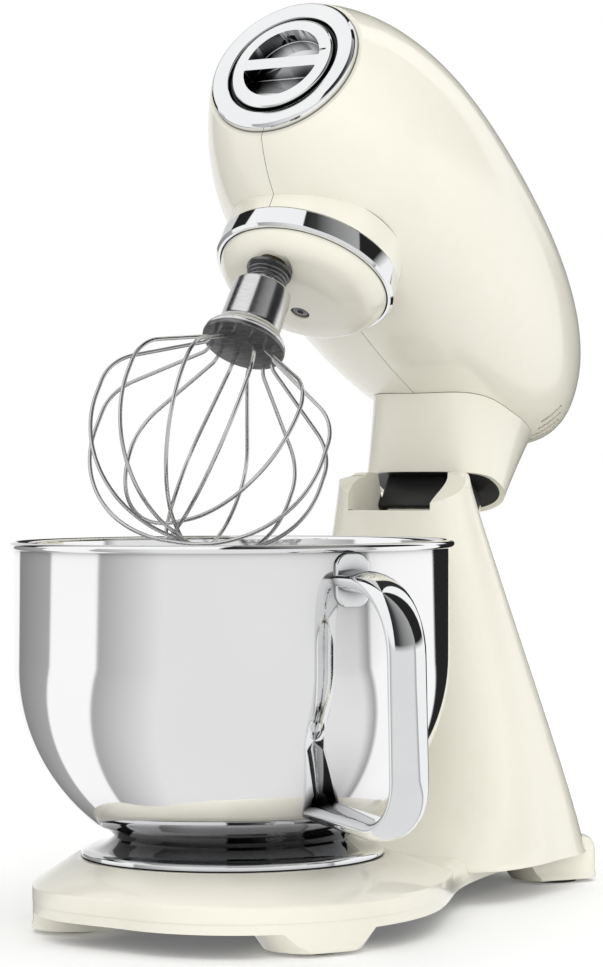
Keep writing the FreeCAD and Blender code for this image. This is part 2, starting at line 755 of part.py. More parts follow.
LEGS = [
    ("front_left", N.front_leg_x, -N.front_leg_y),
    ("front_right", -N.front_leg_x, -N.front_leg_y),
    ("rear_left", N.rear_leg_x, N.rear_leg_y),
    ("rear_right", -N.rear_leg_x, N.rear_leg_y),
]
COVER_SCREWS = [(side * x, y) for side in (1, -1) for x, y in (
    (N.cover_screw_x, N.cover_screw_y), (N.cover_screw_rear_x, N.cover_screw_rear_y))]
THIRD = 120
SEAT_SCREWS = [(N.seat_screw_circle, THIRD * (i + 0.5)) for i in range(3)]
COVER_LOW = N.arch_height + N.cover_clear
COVER_TOP = COVER_LOW + N.cover_thick
SEAT_LOW = N.seat_top - N.seat_plate_thick
SLOT_FLOOR = N.hinge_height - N.slot_floor
SLOT_FRONT = N.column_front + N.slot_wall
SILL = N.hinge_height + N.slot_sill
SKIN = N.seat_skin
# Joined pieces run this far into each other, and a cutting tool this far past a face.
OVERLAP = 1
BUTTON_FACE = column_back(N.button_height)


def polar(radius, degrees):
    angle = math.radians(degrees)
    return radius * math.cos(angle), radius * math.sin(angle)


def ear_edge(side):
    """What the rounding takes off the outer upper edge of an ear."""
    low = EAR_TOP - N.ear_round
    centre = side * (column_half(low) - N.ear_round)
    corner = box(S.ear_round * 4, S.base_back * 2, S.ear_round * 2, (centre + side * N.ear_round * 2, 0, low))
    return cut(corner, cylinder(S.ear_round, S.base_back * 2, (centre, N.base_back * 2, low), X_AXIS, 90))


def make_casting():
    """Base and column in one hollow casting."""
    block = shaped("base_block", base_block())
    legs = [cone(S.leg_radius, S.leg_radius + S.leg_flare, S.arch_height - S.leg_clear, (x, y, N.leg_clear))
            for label, x, y in LEGS]
    arches = cut(box(S.base_back * 4, S.base_back * 4, S.arch_height, (0, -N.base_back * 2, 0)), *legs)
    mound = cone(S.mound_foot_radius, S.mound_top_radius, S.seat_top - S.base_height + OVERLAP,
                 (0, 0, N.base_height - OVERLAP))
    flare_top = N.base_height * 2
    heights = spread(N.base_wall * 3, flare_top, 6) + spread(N.base_height * 3, EAR_TOP + N.base_wall, 6)
    column = shaped("column", column_shape(0, heights))
    above_sill = box(S.base_half_width * 4, S.base_back, S.ear_radius, (0, 0, SILL - N.ear_start))
    ear_round = along_x(S.ear_radius, S.base_half_width * 4, N.hinge_back, N.hinge_height)
    ears = cut(column, cut(above_sill, ear_round), *[ear_edge(side) for side in (1, -1)])
    base = fuse(cut(block, arches), mound)
    outside = fuse(base, ears)

    floor = N.base_height - N.base_wall
    hollow = cut(shaped("base_hollow", base_slab(N.base_wall, 0, floor)),
                 *[cylinder(S.leg_radius + S.leg_flare, S.base_height, (x, y, 0)) for label, x, y in LEGS],
                 *[cylinder(S.boss_radius, S.base_height, (x, y, COVER_TOP)) for x, y in COVER_SCREWS])
    under_seat = cone(S.seat_plate_radius, S.seat_plate_radius - S.seat_draft,
                      SEAT_LOW - SKIN - N.arch_height, (0, 0, N.arch_height))
    hollow_heights = spread(floor - OVERLAP * 2, SLOT_FLOOR - SKIN * 2, 6)
    column_hollow = shaped("column_hollow", column_shape(N.column_wall, hollow_heights))
    slot = box(S.slot_half * 2, S.base_back, S.base_back, (0, SLOT_FRONT, SLOT_FLOOR))
    sill = box(S.slot_half * 2, S.column_front, S.ear_radius, (0, N.column_front / 2, SILL))
    hollowed = outside
    for space in (hollow, column_hollow, under_seat, slot, sill):
        hollowed = cut(hollowed, space)
    bores = [
        cylinder(S.seat_plate_radius + S.seat_gap, S.seat_plate_thick + S.seat_hub_high, (0, 0, SEAT_LOW)),
        along_x(S.bush_radius, (S.slot_half + S.bush_length) * 2, N.hinge_back, N.hinge_height),
        cylinder(S.gland_radius, S.base_wall * 3,
                 (0, N.base_back + N.base_wall, N.gland_height), X_AXIS, 90),
        cylinder(S.button_radius + S.seat_gap, S.column_wall * 3,
                 (0, BUTTON_FACE + N.column_wall, N.button_height), X_AXIS, 90),
    ]
    bores += [cylinder(S.foot_radius + S.seat_gap, S.foot_height, (x, y, 0)) for label, x, y in LEGS]
    bores += [cylinder(S.screw_radius, S.base_wall, (x, y, COVER_TOP)) for x, y in COVER_SCREWS]
    bores += [cylinder(S.screw_radius, S.seat_plate_thick + SKIN, polar(r, a) + (SEAT_LOW - SKIN,))
              for r, a in SEAT_SCREWS]
    node("stand_casting", cut(hollowed, *bores))


def make_base_fittings():
    """Cover plate under the base, its screws, the rubber feet and the cord inlet."""
    blank = shaped("cover_blank", base_slab(N.base_wall + N.seat_gap, COVER_LOW, COVER_TOP))
    through = S.cover_thick + OVERLAP * 2
    start = COVER_LOW - OVERLAP
    holes = [cylinder(S.leg_radius + S.leg_flare + S.seat_gap, through, (x, y, start))
             for label, x, y in LEGS]
    holes += [cylinder(S.screw_radius + S.seat_gap, through, (x, y, start)) for x, y in COVER_SCREWS]
    node("base_cover", cut(blank, *holes))
    node("cover_screws", fuse(*[
        screw((x, y, COVER_LOW), S.cover_thick + S.base_wall - OVERLAP) for x, y in COVER_SCREWS]))
    for label, x, y in LEGS:
        node("foot_" + label, cylinder(S.foot_radius, S.foot_height, (x, y, 0)))
    face = N.base_back + N.seat_gap
    tip = face + N.gland_flange
    length = S.base_wall * 2
    gland = fuse(
        cylinder(S.gland_radius, length, (0, face, N.gland_height), X_AXIS, 90),
        cylinder(S.gland_radius + S.gland_rim, S.gland_flange, (0, tip, N.gland_height), X_AXIS, 90))
    bore = cylinder(S.gland_radius - S.gland_wall, length * 2,
                    (0, tip + OVERLAP, N.gland_height), X_AXIS, 90)
    node("cord_inlet", cut(gland, bore))


def screw(at, shank):
    """Screw driven up from below: its head hangs under the given point."""
    head = cylinder(S.screw_head, S.screw_head_high, (at[0], at[1], at[2] - N.screw_head_high))
    return fuse(head, cylinder(S.screw_radius, shank, at))


def sector(inner, outer, low, high, middle, angle):
    """Part of a ring about the bowl axis, between two heights."""
    pie = cylinder(outer, high - low, (0, 0, number(low)), Z_AXIS, middle - number(angle) / 2)
    bind(pie, Angle=angle)
    return cut(pie, cylinder(inner, high - low, (0, 0, number(low))))


def make_bowl_seat():
    """Bayonet plate let into the base, with three tabs that hold the bowl foot."""
    top = S.seat_top + S.seat_hub_high
    plate = turned([
        (0, SEAT_LOW), (S.seat_plate_radius, SEAT_LOW), (S.seat_plate_radius, S.seat_top),
        (S.seat_hub_radius, S.seat_top), (S.seat_hub_radius, top), (0, top)])
    tabs = [sector(S.seat_hub_radius - OVERLAP, S.tab_radius, top - S.tab_high, top, THIRD * i, S.tab_angle)
            for i in range(3)]
    holes = [cylinder(S.screw_radius + S.seat_gap, S.seat_hub_high * 3, polar(r, a) + (SEAT_LOW - OVERLAP,))
             for r, a in SEAT_SCREWS]
    node("bowl_seat", cut(fuse(plate, *tabs), *holes))
    screws = []
    for r, a in SEAT_SCREWS:
        at = polar(r, a)
        screws.append(fuse(
            cylinder(S.screw_head, S.screw_head_high, at + (number(top),)),
            cylinder(S.screw_radius, top - SEAT_LOW + SKIN - OVERLAP, at + (SEAT_LOW - SKIN + OVERLAP,))))
    node("seat_screws", fuse(*screws))


def make_hinge():
    """Pin, its two bushes in the ears, and the dark lining of the slot."""
    node("hinge_pin", along_x(S.pin_radius, S.pin_half_length * 2, N.hinge_back, N.hinge_height))
    for label, start in (("left", N.slot_half), ("right", -N.slot_half - N.bush_length)):
        at = (start, N.hinge_back, N.hinge_height)
        bush = cylinder(S.bush_radius, S.bush_length, at, V(0, 1, 0), 90)
        node("hinge_bush_" + label,
             cut(bush, cylinder(S.pin_radius, S.bush_length, at, V(0, 1, 0), 90)))
    gap = N.seat_gap
    depth = N.column_top_back - SLOT_FRONT - gap
    outer = box(S.slot_half * 2 - S.seat_gap * 2, depth, S.base_back,
                (0, SLOT_FRONT + gap, SLOT_FLOOR + gap))
    inner = box((S.slot_half - S.seat_gap - S.liner_thick) * 2, depth, S.base_back,
                (0, SLOT_FRONT + gap + N.liner_thick, SLOT_FLOOR + gap + N.liner_thick))
    above = box(S.slot_half * 2, S.slot_wall, S.base_back, (0, SLOT_FRONT - OVERLAP, SILL))
    bush_hole = along_x(S.bush_radius + S.seat_gap, S.slot_half * 3, N.hinge_back, N.hinge_height)
    ear_round = along_x(S.ear_radius - S.liner_set, S.slot_half * 3, N.hinge_back, N.hinge_height)
    node("column_liner", common(cut(outer, inner, above, bush_hole), ear_round))


def make_release_button():
    face = BUTTON_FACE + N.button_travel
    button = cylinder(S.button_radius, S.button_depth, (0, face, N.button_height), X_AXIS, 90)
    stem = cylinder(S.button_stem, S.stem_length, (0, face - N.button_depth, N.button_height), X_AXIS, 90)
    node("release_button", fuse(button, stem))


# Bowl


TURN_COS = math.cos(math.radians(N.bowl_turn_in))
TURN_SIN = math.sin(math.radians(N.bowl_turn_in))
WALL_FOOT_RADIUS = S.bowl_radius - S.bowl_curve * (1 - TURN_COS)
WALL_FOOT_HEIGHT = S.bowl_curve_height - S.bowl_curve * TURN_SIN
FLOOR_SLOPE = (WALL_FOOT_HEIGHT - S.bowl_floor) / (WALL_FOOT_RADIUS - S.bowl_floor_radius)
WELD_GAP = 0.05


def make_bowl():
    """Spun sheet bowl with a rolled rim."""
    inner_curve = S.bowl_curve - S.bowl_sheet
    inner_radius = S.bowl_radius - S.bowl_sheet
    wall = turned([
        (0, S.bowl_floor), (S.bowl_floor_radius, S.bowl_floor),
        (WALL_FOOT_RADIUS, WALL_FOOT_HEIGHT, S.bowl_curve),
        (S.bowl_radius, S.bowl_curve_height), (S.bowl_radius, S.bowl_rim_height),
        (inner_radius, S.bowl_rim_height),
        (inner_radius, S.bowl_curve_height, inner_curve * -1),
        (S.bowl_radius - S.bowl_curve + inner_curve * TURN_COS,
         S.bowl_curve_height - inner_curve * TURN_SIN),
        (S.bowl_floor_radius, S.bowl_floor + S.bowl_sheet), (0, S.bowl_floor + S.bowl_sheet)])
    roll = doc.addObject("Part::Torus", "roll")
    roll.Placement = place((0, 0, N.bowl_rim_height))
    bind(roll, Radius1=S.bowl_radius + S.bowl_roll - S.seat_gap, Radius2=S.bowl_roll)
    node("bowl", fuse(wall, roll))


def make_bowl_foot():
    """Turned pedestal: a lip under the bowl, a waist, and a flared disc with bayonet tabs."""
    low = S.seat_top
    waist_in = S.foot_waist - S.foot_sheet
    lip_top = S.bowl_floor + FLOOR_SLOPE * (S.foot_lip - S.foot_lip_bevel - S.bowl_floor_radius) - WELD_GAP
    edge = low + S.foot_disc_edge
    ring = turned([
        (S.foot_disc_radius - S.foot_open, low), (S.foot_disc_radius, low), (S.foot_disc_radius, edge),
        (S.foot_disc_radius - S.foot_bevel, edge + S.foot_bevel_rise, S.foot_flare_curve * -1),
        (S.foot_waist, low + S.foot_waist_rise, S.foot_lip_curve * -1),
        (S.foot_lip, lip_top - S.foot_lip_edge), (S.foot_lip - S.foot_lip_bevel, lip_top),
        (S.bowl_floor_radius, S.bowl_floor - WELD_GAP), (waist_in, S.bowl_floor - WELD_GAP),
        (waist_in, low + S.foot_waist_rise - S.foot_sheet),
        (S.foot_disc_radius - S.foot_open, low + S.foot_sheet)])
    low_tab = low + S.tab_gap
    high_tab = low + S.seat_hub_high - S.tab_high - S.tab_gap
    tabs = [sector(S.tab_radius - S.tab_grip, S.foot_waist + S.tab_root, low_tab, high_tab,
                   THIRD * i, S.tab_angle)
            for i in range(3)]
    node("bowl_foot", fuse(ring, *tabs))


def oval(half_x, half_y):
    """Oval outline about the origin in the XY plane."""
    edge = Part.Ellipse(V(0, 0, 0), max(half_x, half_y), min(half_x, half_y)).toShape()
    if half_y > half_x:
        edge.rotate(V(0, 0, 0), Z_AXIS, 90)
    return Part.Wire([edge])


def make_bowl_handle():
    """Flattened grip with an oval tab on the bowl wall."""
    azimuth = place((0, 0, 0), Z_AXIS, N.handle_azimuth - 90)
    inner = N.bowl_radius - N.handle_root
    lower = number(WALL_FOOT_RADIUS) + N.handle_root
    path = rounded_path([
        (V(inner, 0, N.handle_top), 0),
        (V(N.handle_reach, 0, N.handle_top - N.handle_drop), N.handle_bend),
        (V(N.handle_reach + N.handle_splay, 0, N.handle_foot - N.handle_tuck), N.handle_bend),
        (V(lower, 0, N.handle_foot), 0)])
    profile = oval(N.handle_thick / 2, N.handle_width / 2)
    heading = path.Edges[0].tangentAt(path.Edges[0].FirstParameter)
    profile.Placement = FreeCAD.Placement(
        V(inner, 0, N.handle_top), FreeCAD.Rotation(Z_AXIS, heading)).multiply(profile.Placement)
    grip = shaped("grip", piped(path, profile))
    grip.Placement = azimuth
    tab_outline = Part.Face(oval(N.tab_half_wide, N.tab_half_high))
    plate = tab_outline.extrude(V(0, 0, N.bowl_radius + N.tab_thick * 2))
    tab = shaped("tab", plate)
    tab.Placement = azimuth.multiply(FreeCAD.Placement(
        V(0, 0, N.handle_top), FreeCAD.Rotation(V(0, 1, 0), V(0, 0, 1), V(1, 0, 0))))
    ring = cylinder(S.bowl_radius + S.tab_thick, S.bowl_rim_height)
    filled = turned([
        (0, S.bowl_floor), (S.bowl_floor_radius, S.bowl_floor - WELD_GAP),
        (WALL_FOOT_RADIUS + WELD_GAP, WALL_FOOT_HEIGHT - WELD_GAP, S.bowl_curve + WELD_GAP),
        (S.bowl_radius + WELD_GAP, S.bowl_curve_height),
        (S.bowl_radius + WELD_GAP, S.bowl_rim_height), (0, S.bowl_rim_height)])
    node("bowl_handle", cut(fuse(grip, common(tab, ring)), filled))


# Head, drawn level


# How sharply the sides, the top and the underside of the head turn towards its two ends.
FRONT_SIDE_POWER = 2.6
TAIL_SIDE_POWER = 2.3
TAIL_ROUND_POWER = 2.2
FRONT_TOP_POWER = 3
FRONT_LOW_POWER = 5
# Stations of the head: shares of the run ahead of the widest section, angles of the round behind it.
FRONT_SHARES = (0, 0.07, 0.17, 0.31, 0.52, 0.76)
TAIL_ANGLES = (0, 20, 38, 53, 66, 76, 84)


def head_section(y, inset):
    """Half width, top and underside of the head at one station."""
    front, back = inset - N.head_front, N.head_back - inset
    face = N.hub_face_radius - inset
    wide = N.head_half_width - inset
    top, bottom = N.head_top - inset, N.head_bottom + inset
    if y <= N.head_wide_back:
        run = (N.head_wide_back - y) / (N.head_wide_back - front)
        half = wide - (wide - face) * run ** FRONT_SIDE_POWER
    else:
        run = (y - N.head_wide_back) / (back - N.head_wide_back)
        half = wide * (1 - run ** TAIL_SIDE_POWER) ** (1 / TAIL_ROUND_POWER)
    if y <= N.head_top_back:
        run = (N.head_top_back - y) / (N.head_top_back - front)
        high = top - (top - N.hub_height - face) * run ** FRONT_TOP_POWER
    else:
        run = (y - N.head_top_back) / (back - N.head_top_back)
        high = N.head_tail_height + (top - N.head_tail_height) * math.sqrt(1 - run * run)
    if y <= N.head_bottom_back:
        run = (N.head_bottom_back - y) / (N.head_bottom_back - front)
        low = bottom + (N.hub_height - face - bottom) * run ** FRONT_LOW_POWER
    else:
        run = (y - N.head_bottom_back) / (back - N.head_bottom_back)
        low = N.head_tail_height - (N.head_tail_height - bottom) * math.sqrt(1 - run * run)
    return half, high, low


def half_section(half, high, low, y, power, flat):
    """One side of a head section, closed by an upright line at x = flat."""
    points = []
    for degrees in spread(-90, 90, 17):
        angle = math.radians(degrees)
        c, s = max(math.cos(angle), 0), math.sin(angle)
        x = flat + (half - flat) * c ** (2 / power)
        z = (high + low) / 2 + (high - low) / 2 * math.copysign(abs(s) ** (2 / power), s)
        points.append(V(x, y, z))
    curve = Part.BSplineCurve()
    curve.interpolate(points)
    return Part.Wire([curve.toShape(), Part.LineSegment(points[-1], points[0]).toShape()])


def head_shape(inset, flat=None):
    """Smooth body of the head drawn in by the inset, or only its left side from x = flat."""
    front, back = inset - N.head_front, N.head_back - inset
    stations = [front + (N.head_wide_back - front) * share for share in FRONT_SHARES]
    tail = back - N.head_wide_back
    stations += [N.head_wide_back + tail * math.sin(math.radians(a)) for a in TAIL_ANGLES]
    sections = []
    for y in stations:
        half, high, low = head_section(y, inset)
        blend = min((y - front) / N.square_run, 1)
        power = 2 + (N.section_power - 2) * blend
        if flat is None:
            middle = V(0, y, (high + low) / 2)
            sections.append(superellipse(half, (high - low) / 2, middle, power, X_AXIS, Z_AXIS))
        else:
            sections.append(half_section(half, high, low, y, power, flat))
    return Part.makeLoft(sections, True)


RING_TOP = N.ring_low + N.ring_high
SKIRT_RADIUS = N.ring_radius - N.skirt_set
SKIRT_BORE = SKIRT_RADIUS - N.skirt_wall
BOSSES = [(s * N.boss_x, y) for s in (1, -1) for y in (N.boss_front, N.boss_back)]
PLATE_TOP = N.plate_low + N.plate_thick
PILLAR_BACK = N.pillar_front + N.pillar_depth
SPEED_TOP = N.head_top + N.speed_proud


def make_head_shells():
    """Two painted half shells, parted along the mid plane; the right one mirrors the left."""
    side = box(S.head_back, S.head_back * 3, S.head_top * 2, (N.head_seam / 2, -N.head_back, 0), False)
    outer = shaped("head_outer", head_shape(0, N.head_seam / 2))
    walls = cut(outer, shaped("head_inner", head_shape(N.head_wall, -1)))
    skirt = common(cylinder(SKIRT_RADIUS, N.plate_low - RING_TOP - N.skirt_room, (0, 0, RING_TOP)), side)
    bosses = [common(outer, cylinder(S.boss_radius, N.plate_low - N.dome_low, (x, y, N.dome_low)))
              for x, y in BOSSES if x > 0]
    shell = fuse(walls, skirt, *bosses)
    shell = cut(shell, cylinder(SKIRT_BORE, N.plate_low - N.dome_low, (0, 0, N.dome_low)))
    hub_hole = cylinder(S.bezel_sleeve + S.seat_gap, S.head_front,
                        (0, N.bezel_deep * 2 - N.head_front, N.hub_height), X_AXIS, 90)
    gap = S.seat_gap * 2
    pillar_hole = box(S.tongue_half * 2 + gap, S.pillar_depth + gap,
                      N.plate_low - N.head_bottom + N.pillar_foot * 3,
                      (0, N.pillar_front - N.seat_gap, N.head_bottom - N.pillar_foot * 2))
    speed_hole = box(S.speed_half * 2 + gap, S.speed_length + gap, S.speed_deep * 6,
                     (0, -N.speed_front - N.seat_gap, SPEED_TOP - N.speed_deep * 4))
    bores = [cylinder(S.screw_radius, S.plate_screw_bite + OVERLAP * 2,
                      (x, y, N.plate_low - N.plate_screw_bite - OVERLAP)) for x, y in BOSSES if x > 0]
    vents = []
    for i in range(int(N.vent_count)):
        y = N.head_back - N.vent_front + i * N.vent_pitch
        vents.append(box(S.head_half_width * 4, S.vent_width, S.vent_high,
                         (0, y, N.head_tail_height - N.vent_drop)))
    shell = cut(cut(shell, hub_hole, pillar_hole, speed_hole, *bores), *vents)
    node("head_shell_left", shell, RAISED)
    mirrored = doc.addObject("Part::Mirroring", "mirrored")
    mirrored.Source = shell
    mirrored.Normal = X_AXIS
    node("head_shell_right", mirrored, RAISED)


def make_hub():
    """Accessory hub on the front of the head: bezel, seal, cap and the socket behind it."""
    rim = S.bezel_proud
    bezel = turned([
        (S.bezel_bore, S.bezel_deep * -1), (S.bezel_sleeve, S.bezel_deep * -1), (S.bezel_sleeve, 0),
        (S.bezel_radius, 0), (S.bezel_radius, rim - S.bezel_round, S.bezel_round),
        (S.bezel_radius - S.bezel_round, rim), (S.bezel_bore + S.bezel_lead, rim - S.bezel_dish),
        (S.bezel_bore, rim - S.bezel_dish - S.bezel_lead)])
    node("hub_bezel", bezel, RAISED.multiply(HUB))
    seal_in = S.bezel_bore - S.seal_thick
    seal = turned([
        (seal_in, S.bezel_deep * -1), (S.bezel_bore, S.bezel_deep * -1),
        (S.bezel_bore, rim - S.bezel_round), (seal_in, rim - S.bezel_round)])
    node("hub_seal", seal, RAISED.multiply(HUB))
    depth = S.cap_proud + S.cap_deep
    blank = turned([
        (0, S.cap_deep * -1), (S.cap_radius, S.cap_deep * -1),
        (S.cap_radius, S.cap_proud - S.cap_round, S.cap_round),
        (S.cap_radius - S.cap_round, S.cap_proud), (0, S.cap_proud)])
    floor = N.cap_proud - N.pocket_deep
    pocket = cylinder(S.pocket_radius, depth, (0, 0, floor))
    bar = box(S.pocket_radius * 3, S.crossbar_high, depth * 2, (0, -N.crossbar_high / 2, floor - OVERLAP))
    node("hub_cap", cut(blank, cut(pocket, bar)), RAISED.multiply(HUB))
    mouth = S.bezel_deep * -1
    low = mouth - S.socket_length
    bore = S.bezel_bore - S.bezel_lead
    socket = turned([
        (0, low), (bore + S.socket_wall, low), (bore + S.socket_wall, mouth), (bore, mouth),
        (bore, low + S.socket_wall), (0, low + S.socket_wall)])
    node("hub_socket", socket, RAISED.multiply(HUB))


# The neck's sections run from below its lower edge up into the head.
NECK_LOW = -25
NECK_HIGH = 75


def neck_shape(inset):
    """Neck that widens up into the head."""
    edge = N.hinge_height + N.neck_edge
    sections = []
    for rise in spread(NECK_LOW, NECK_HIGH, 5):
        front = N.neck_front - N.neck_lean * rise + inset
        back = N.neck_back + N.neck_back_lean * rise - inset
        half = N.neck_half - N.neck_taper * rise - inset
        middle = V(0, (front + back) / 2, edge + rise)
        sections.append(
            superellipse(half, (back - front) / 2, middle, COLUMN_POWER, X_AXIS, V(0, 1, 0)))
    return Part.makeLoft(sections, True)


def hinge_drum(radius):
    """Round tool about the hinge axis, wider than the column."""
    return along_x(radius, S.base_half_width * 2, N.hinge_back, N.hinge_height)


def neck_screw(side):
    """Sunk screw of the neck cover, square to the round underside."""
    lean = math.degrees(math.atan2(N.neck_screw_back, N.ear_radius))
    swing = about_hinge(-lean)
    x = side * (N.tongue_half + N.neck_screw_side)
    start = N.ear_radius + N.sweep_gap
    head = cylinder(S.screw_head, S.screw_head_high, (x, N.hinge_back, N.hinge_height + start + N.seat_gap))
    shank = cylinder(S.screw_radius, S.neck_screw_long, (x, N.hinge_back, N.hinge_height + start))
    for piece in (head, shank):
        piece.Placement = swing.multiply(piece.Placement)
    return fuse(head, shank)


def make_neck():
    """Cast neck with the hinge tongue, and the dark cover of its underside."""
    sweep = S.ear_radius + S.sweep_gap
    body = cut(shaped("neck_body", neck_shape(0)), shaped("head_room", head_shape(-N.head_seam)))
    body = cut(body, hinge_drum(sweep))
    inside = shaped("neck_inside", neck_shape(N.neck_cover_inset))
    recess = common(inside, hinge_drum(sweep + S.neck_cover_thick))
    tongue = box(S.tongue_half * 2, S.tongue_depth, S.ear_radius + S.tongue_root,
                 (0, N.hinge_back - N.tongue_depth / 2, N.hinge_height))
    knuckle = along_x(S.tongue_radius, S.tongue_half * 2, N.hinge_back, N.hinge_height)
    pillar = box(S.tongue_half * 2, S.pillar_depth, N.plate_low - N.head_bottom + N.pillar_foot,
                 (0, N.pillar_front, N.head_bottom - N.pillar_foot))
    bore = along_x(S.pin_radius + S.running_fit, S.base_half_width, N.hinge_back, N.hinge_height)
    screws = [neck_screw(side) for side in (1, -1)]
    body = fuse(cut(body, recess), tongue, knuckle, pillar)
    node("neck", cut(body, bore, *screws), RAISED)
    opening = box(S.tongue_half * 2 + S.seat_gap * 2, S.tongue_depth + S.seat_gap * 2, S.ear_radius * 2,
                  (0, N.hinge_back - N.tongue_depth / 2 - N.seat_gap, N.hinge_height))
    cover = cut(common(inside, cut(hinge_drum(sweep + S.neck_cover_thick), hinge_drum(sweep))), opening)
    node("neck_cover", cut(cover, *screws), RAISED)
    node("neck_cover_screws", fuse(*screws), RAISED)


def make_speed_control():
    """Trim let into the top of the head and the sliding lever in its slot."""
    low = SPEED_TOP - N.speed_deep
    lever_y = N.lever_start - N.speed_front
    plate = box(S.speed_half * 2, S.speed_length, S.speed_deep, (0, -N.speed_front, low))
    slot = box(S.slot_width, S.lever_travel + S.slot_end * 2, S.speed_deep * 2,
               (0, lever_y - N.slot_end, low - OVERLAP))
    node("speed_trim", cut(plate, slot), RAISED)
    foot = (0, lever_y - N.lever_long / 2, low - N.lever_gap - N.keeper_thick)
    stem_high = S.keeper_thick + S.lever_gap * 2 + S.speed_deep + OVERLAP
    stem = box(S.slot_width - S.sweep_gap, S.lever_long, stem_high, foot)
    keeper = box(S.slot_width * 2, S.lever_long, S.keeper_thick, foot)
    knob = cylinder(S.knob_radius, S.knob_high, (0, lever_y, SPEED_TOP + N.lever_gap))
    node("speed_lever", fuse(stem, keeper, knob), RAISED)


# Planetary and drive


RING_GEAR_LOW = RING_TOP - N.ring_gear_drop
CARRIER_GEAR_LOW = PLATE_TOP + N.gear_gap
IDLER_GEAR_LOW = CARRIER_GEAR_LOW + N.final_face + N.gear_gap
MOTOR_PLATE_LOW = IDLER_GEAR_LOW + N.first_face + N.gear_gap
MOTOR_LOW = MOTOR_PLATE_LOW + N.motor_plate_thick
MOTOR_TOP = MOTOR_LOW + N.motor_high
IDLER_Y = N.final_module * (N.small_teeth + N.large_teeth) / 2
MOTOR_Y = IDLER_Y + N.first_module * (N.small_teeth + N.large_teeth) / 2
IDLER = place((0, IDLER_Y, 0))
MOTOR = place((0, MOTOR_Y, 0))
POSTS = [(side * (N.plate_half - N.post_inset), MOTOR_Y + y)
         for side in (1, -1) for y in (-N.post_front, N.post_rear)]
TOWARDS_BACK = 90
TOWARDS_FRONT = -90


def half_pitch(teeth):
    return 180 / teeth


def make_head_fittings():
    """Trim ring, gearbox plate, its screws and the fixed ring gear."""
    top = S.ring_low + S.ring_high
    node("trim_ring", turned([
        (S.ring_bore, S.ring_low), (S.ring_radius - S.ring_chamfer, S.ring_low),
        (S.ring_radius, S.ring_low + S.ring_chamfer), (S.ring_radius, top - S.ring_bevel),
        (S.ring_radius - S.ring_bevel, top), (SKIRT_BORE, top), (SKIRT_BORE, top - S.ring_flange),
        (S.ring_bore, top - S.ring_flange)]), RAISED)
    plate = fuse(
        cylinder(S.ring_gear_radius - OVERLAP, S.plate_thick, (0, 0, N.plate_low)),
        box(S.plate_half * 2, S.plate_back, S.plate_thick, (0, 0, N.plate_low)),
        box(S.plate_tail_half * 2, PILLAR_BACK - N.plate_back + OVERLAP, S.plate_thick,
            (0, N.plate_back - OVERLAP, N.plate_low)))
    through = S.plate_thick * 3
    start = N.plate_low - N.plate_thick
    holes = [cylinder(S.screw_radius + S.seat_gap, through, (x, y, start)) for x, y in BOSSES]
    holes.append(cylinder(S.bearing_radius, through, (0, 0, start)))
    holes.append(cylinder(S.idler_radius + S.running_fit, through, (0, IDLER_Y, start)))
    node("gearbox_plate", cut(plate, *holes), RAISED)
    screws = []
    for x, y in BOSSES:
        screws.append(fuse(
            cylinder(S.screw_head, S.screw_head_high, (x, y, PLATE_TOP)),
            cylinder(S.screw_radius, S.plate_thick + S.plate_screw_bite,
                     (x, y, N.plate_low - N.plate_screw_bite))))
    node("plate_screws", fuse(*screws), RAISED)
    pitch = N.planet_module * N.ring_teeth / 2
    teeth = involute_outline(N.planet_module, int(N.ring_teeth), -N.flank_play,
                             pitch + DEDENDUM * N.planet_module, pitch - ADDENDUM * N.planet_module,
                             TOWARDS_FRONT)
    toothing = shaped("toothing", Part.Face(teeth).extrude(V(0, 0, N.planet_face)))
    toothing.Placement = place((0, 0, RING_GEAR_LOW))
    blank = cylinder(S.ring_gear_radius, N.plate_low - RING_GEAR_LOW, (0, 0, RING_GEAR_LOW))
    sleeve = cylinder(S.ring_gear_radius - S.ring_gear_wall, N.plate_low,
                      (0, 0, RING_GEAR_LOW + N.planet_face))
    node("ring_gear", cut(blank, toothing, sleeve), RAISED)
    bearing_low = PLATE_TOP - N.bearing_high
    bearing = cylinder(S.bearing_radius, S.bearing_high, (0, 0, bearing_low))
    bore = cylinder(S.carrier_radius + S.running_fit, S.bearing_high, (0, 0, bearing_low))
    node("carrier_bearing", cut(bearing, bore), RAISED)


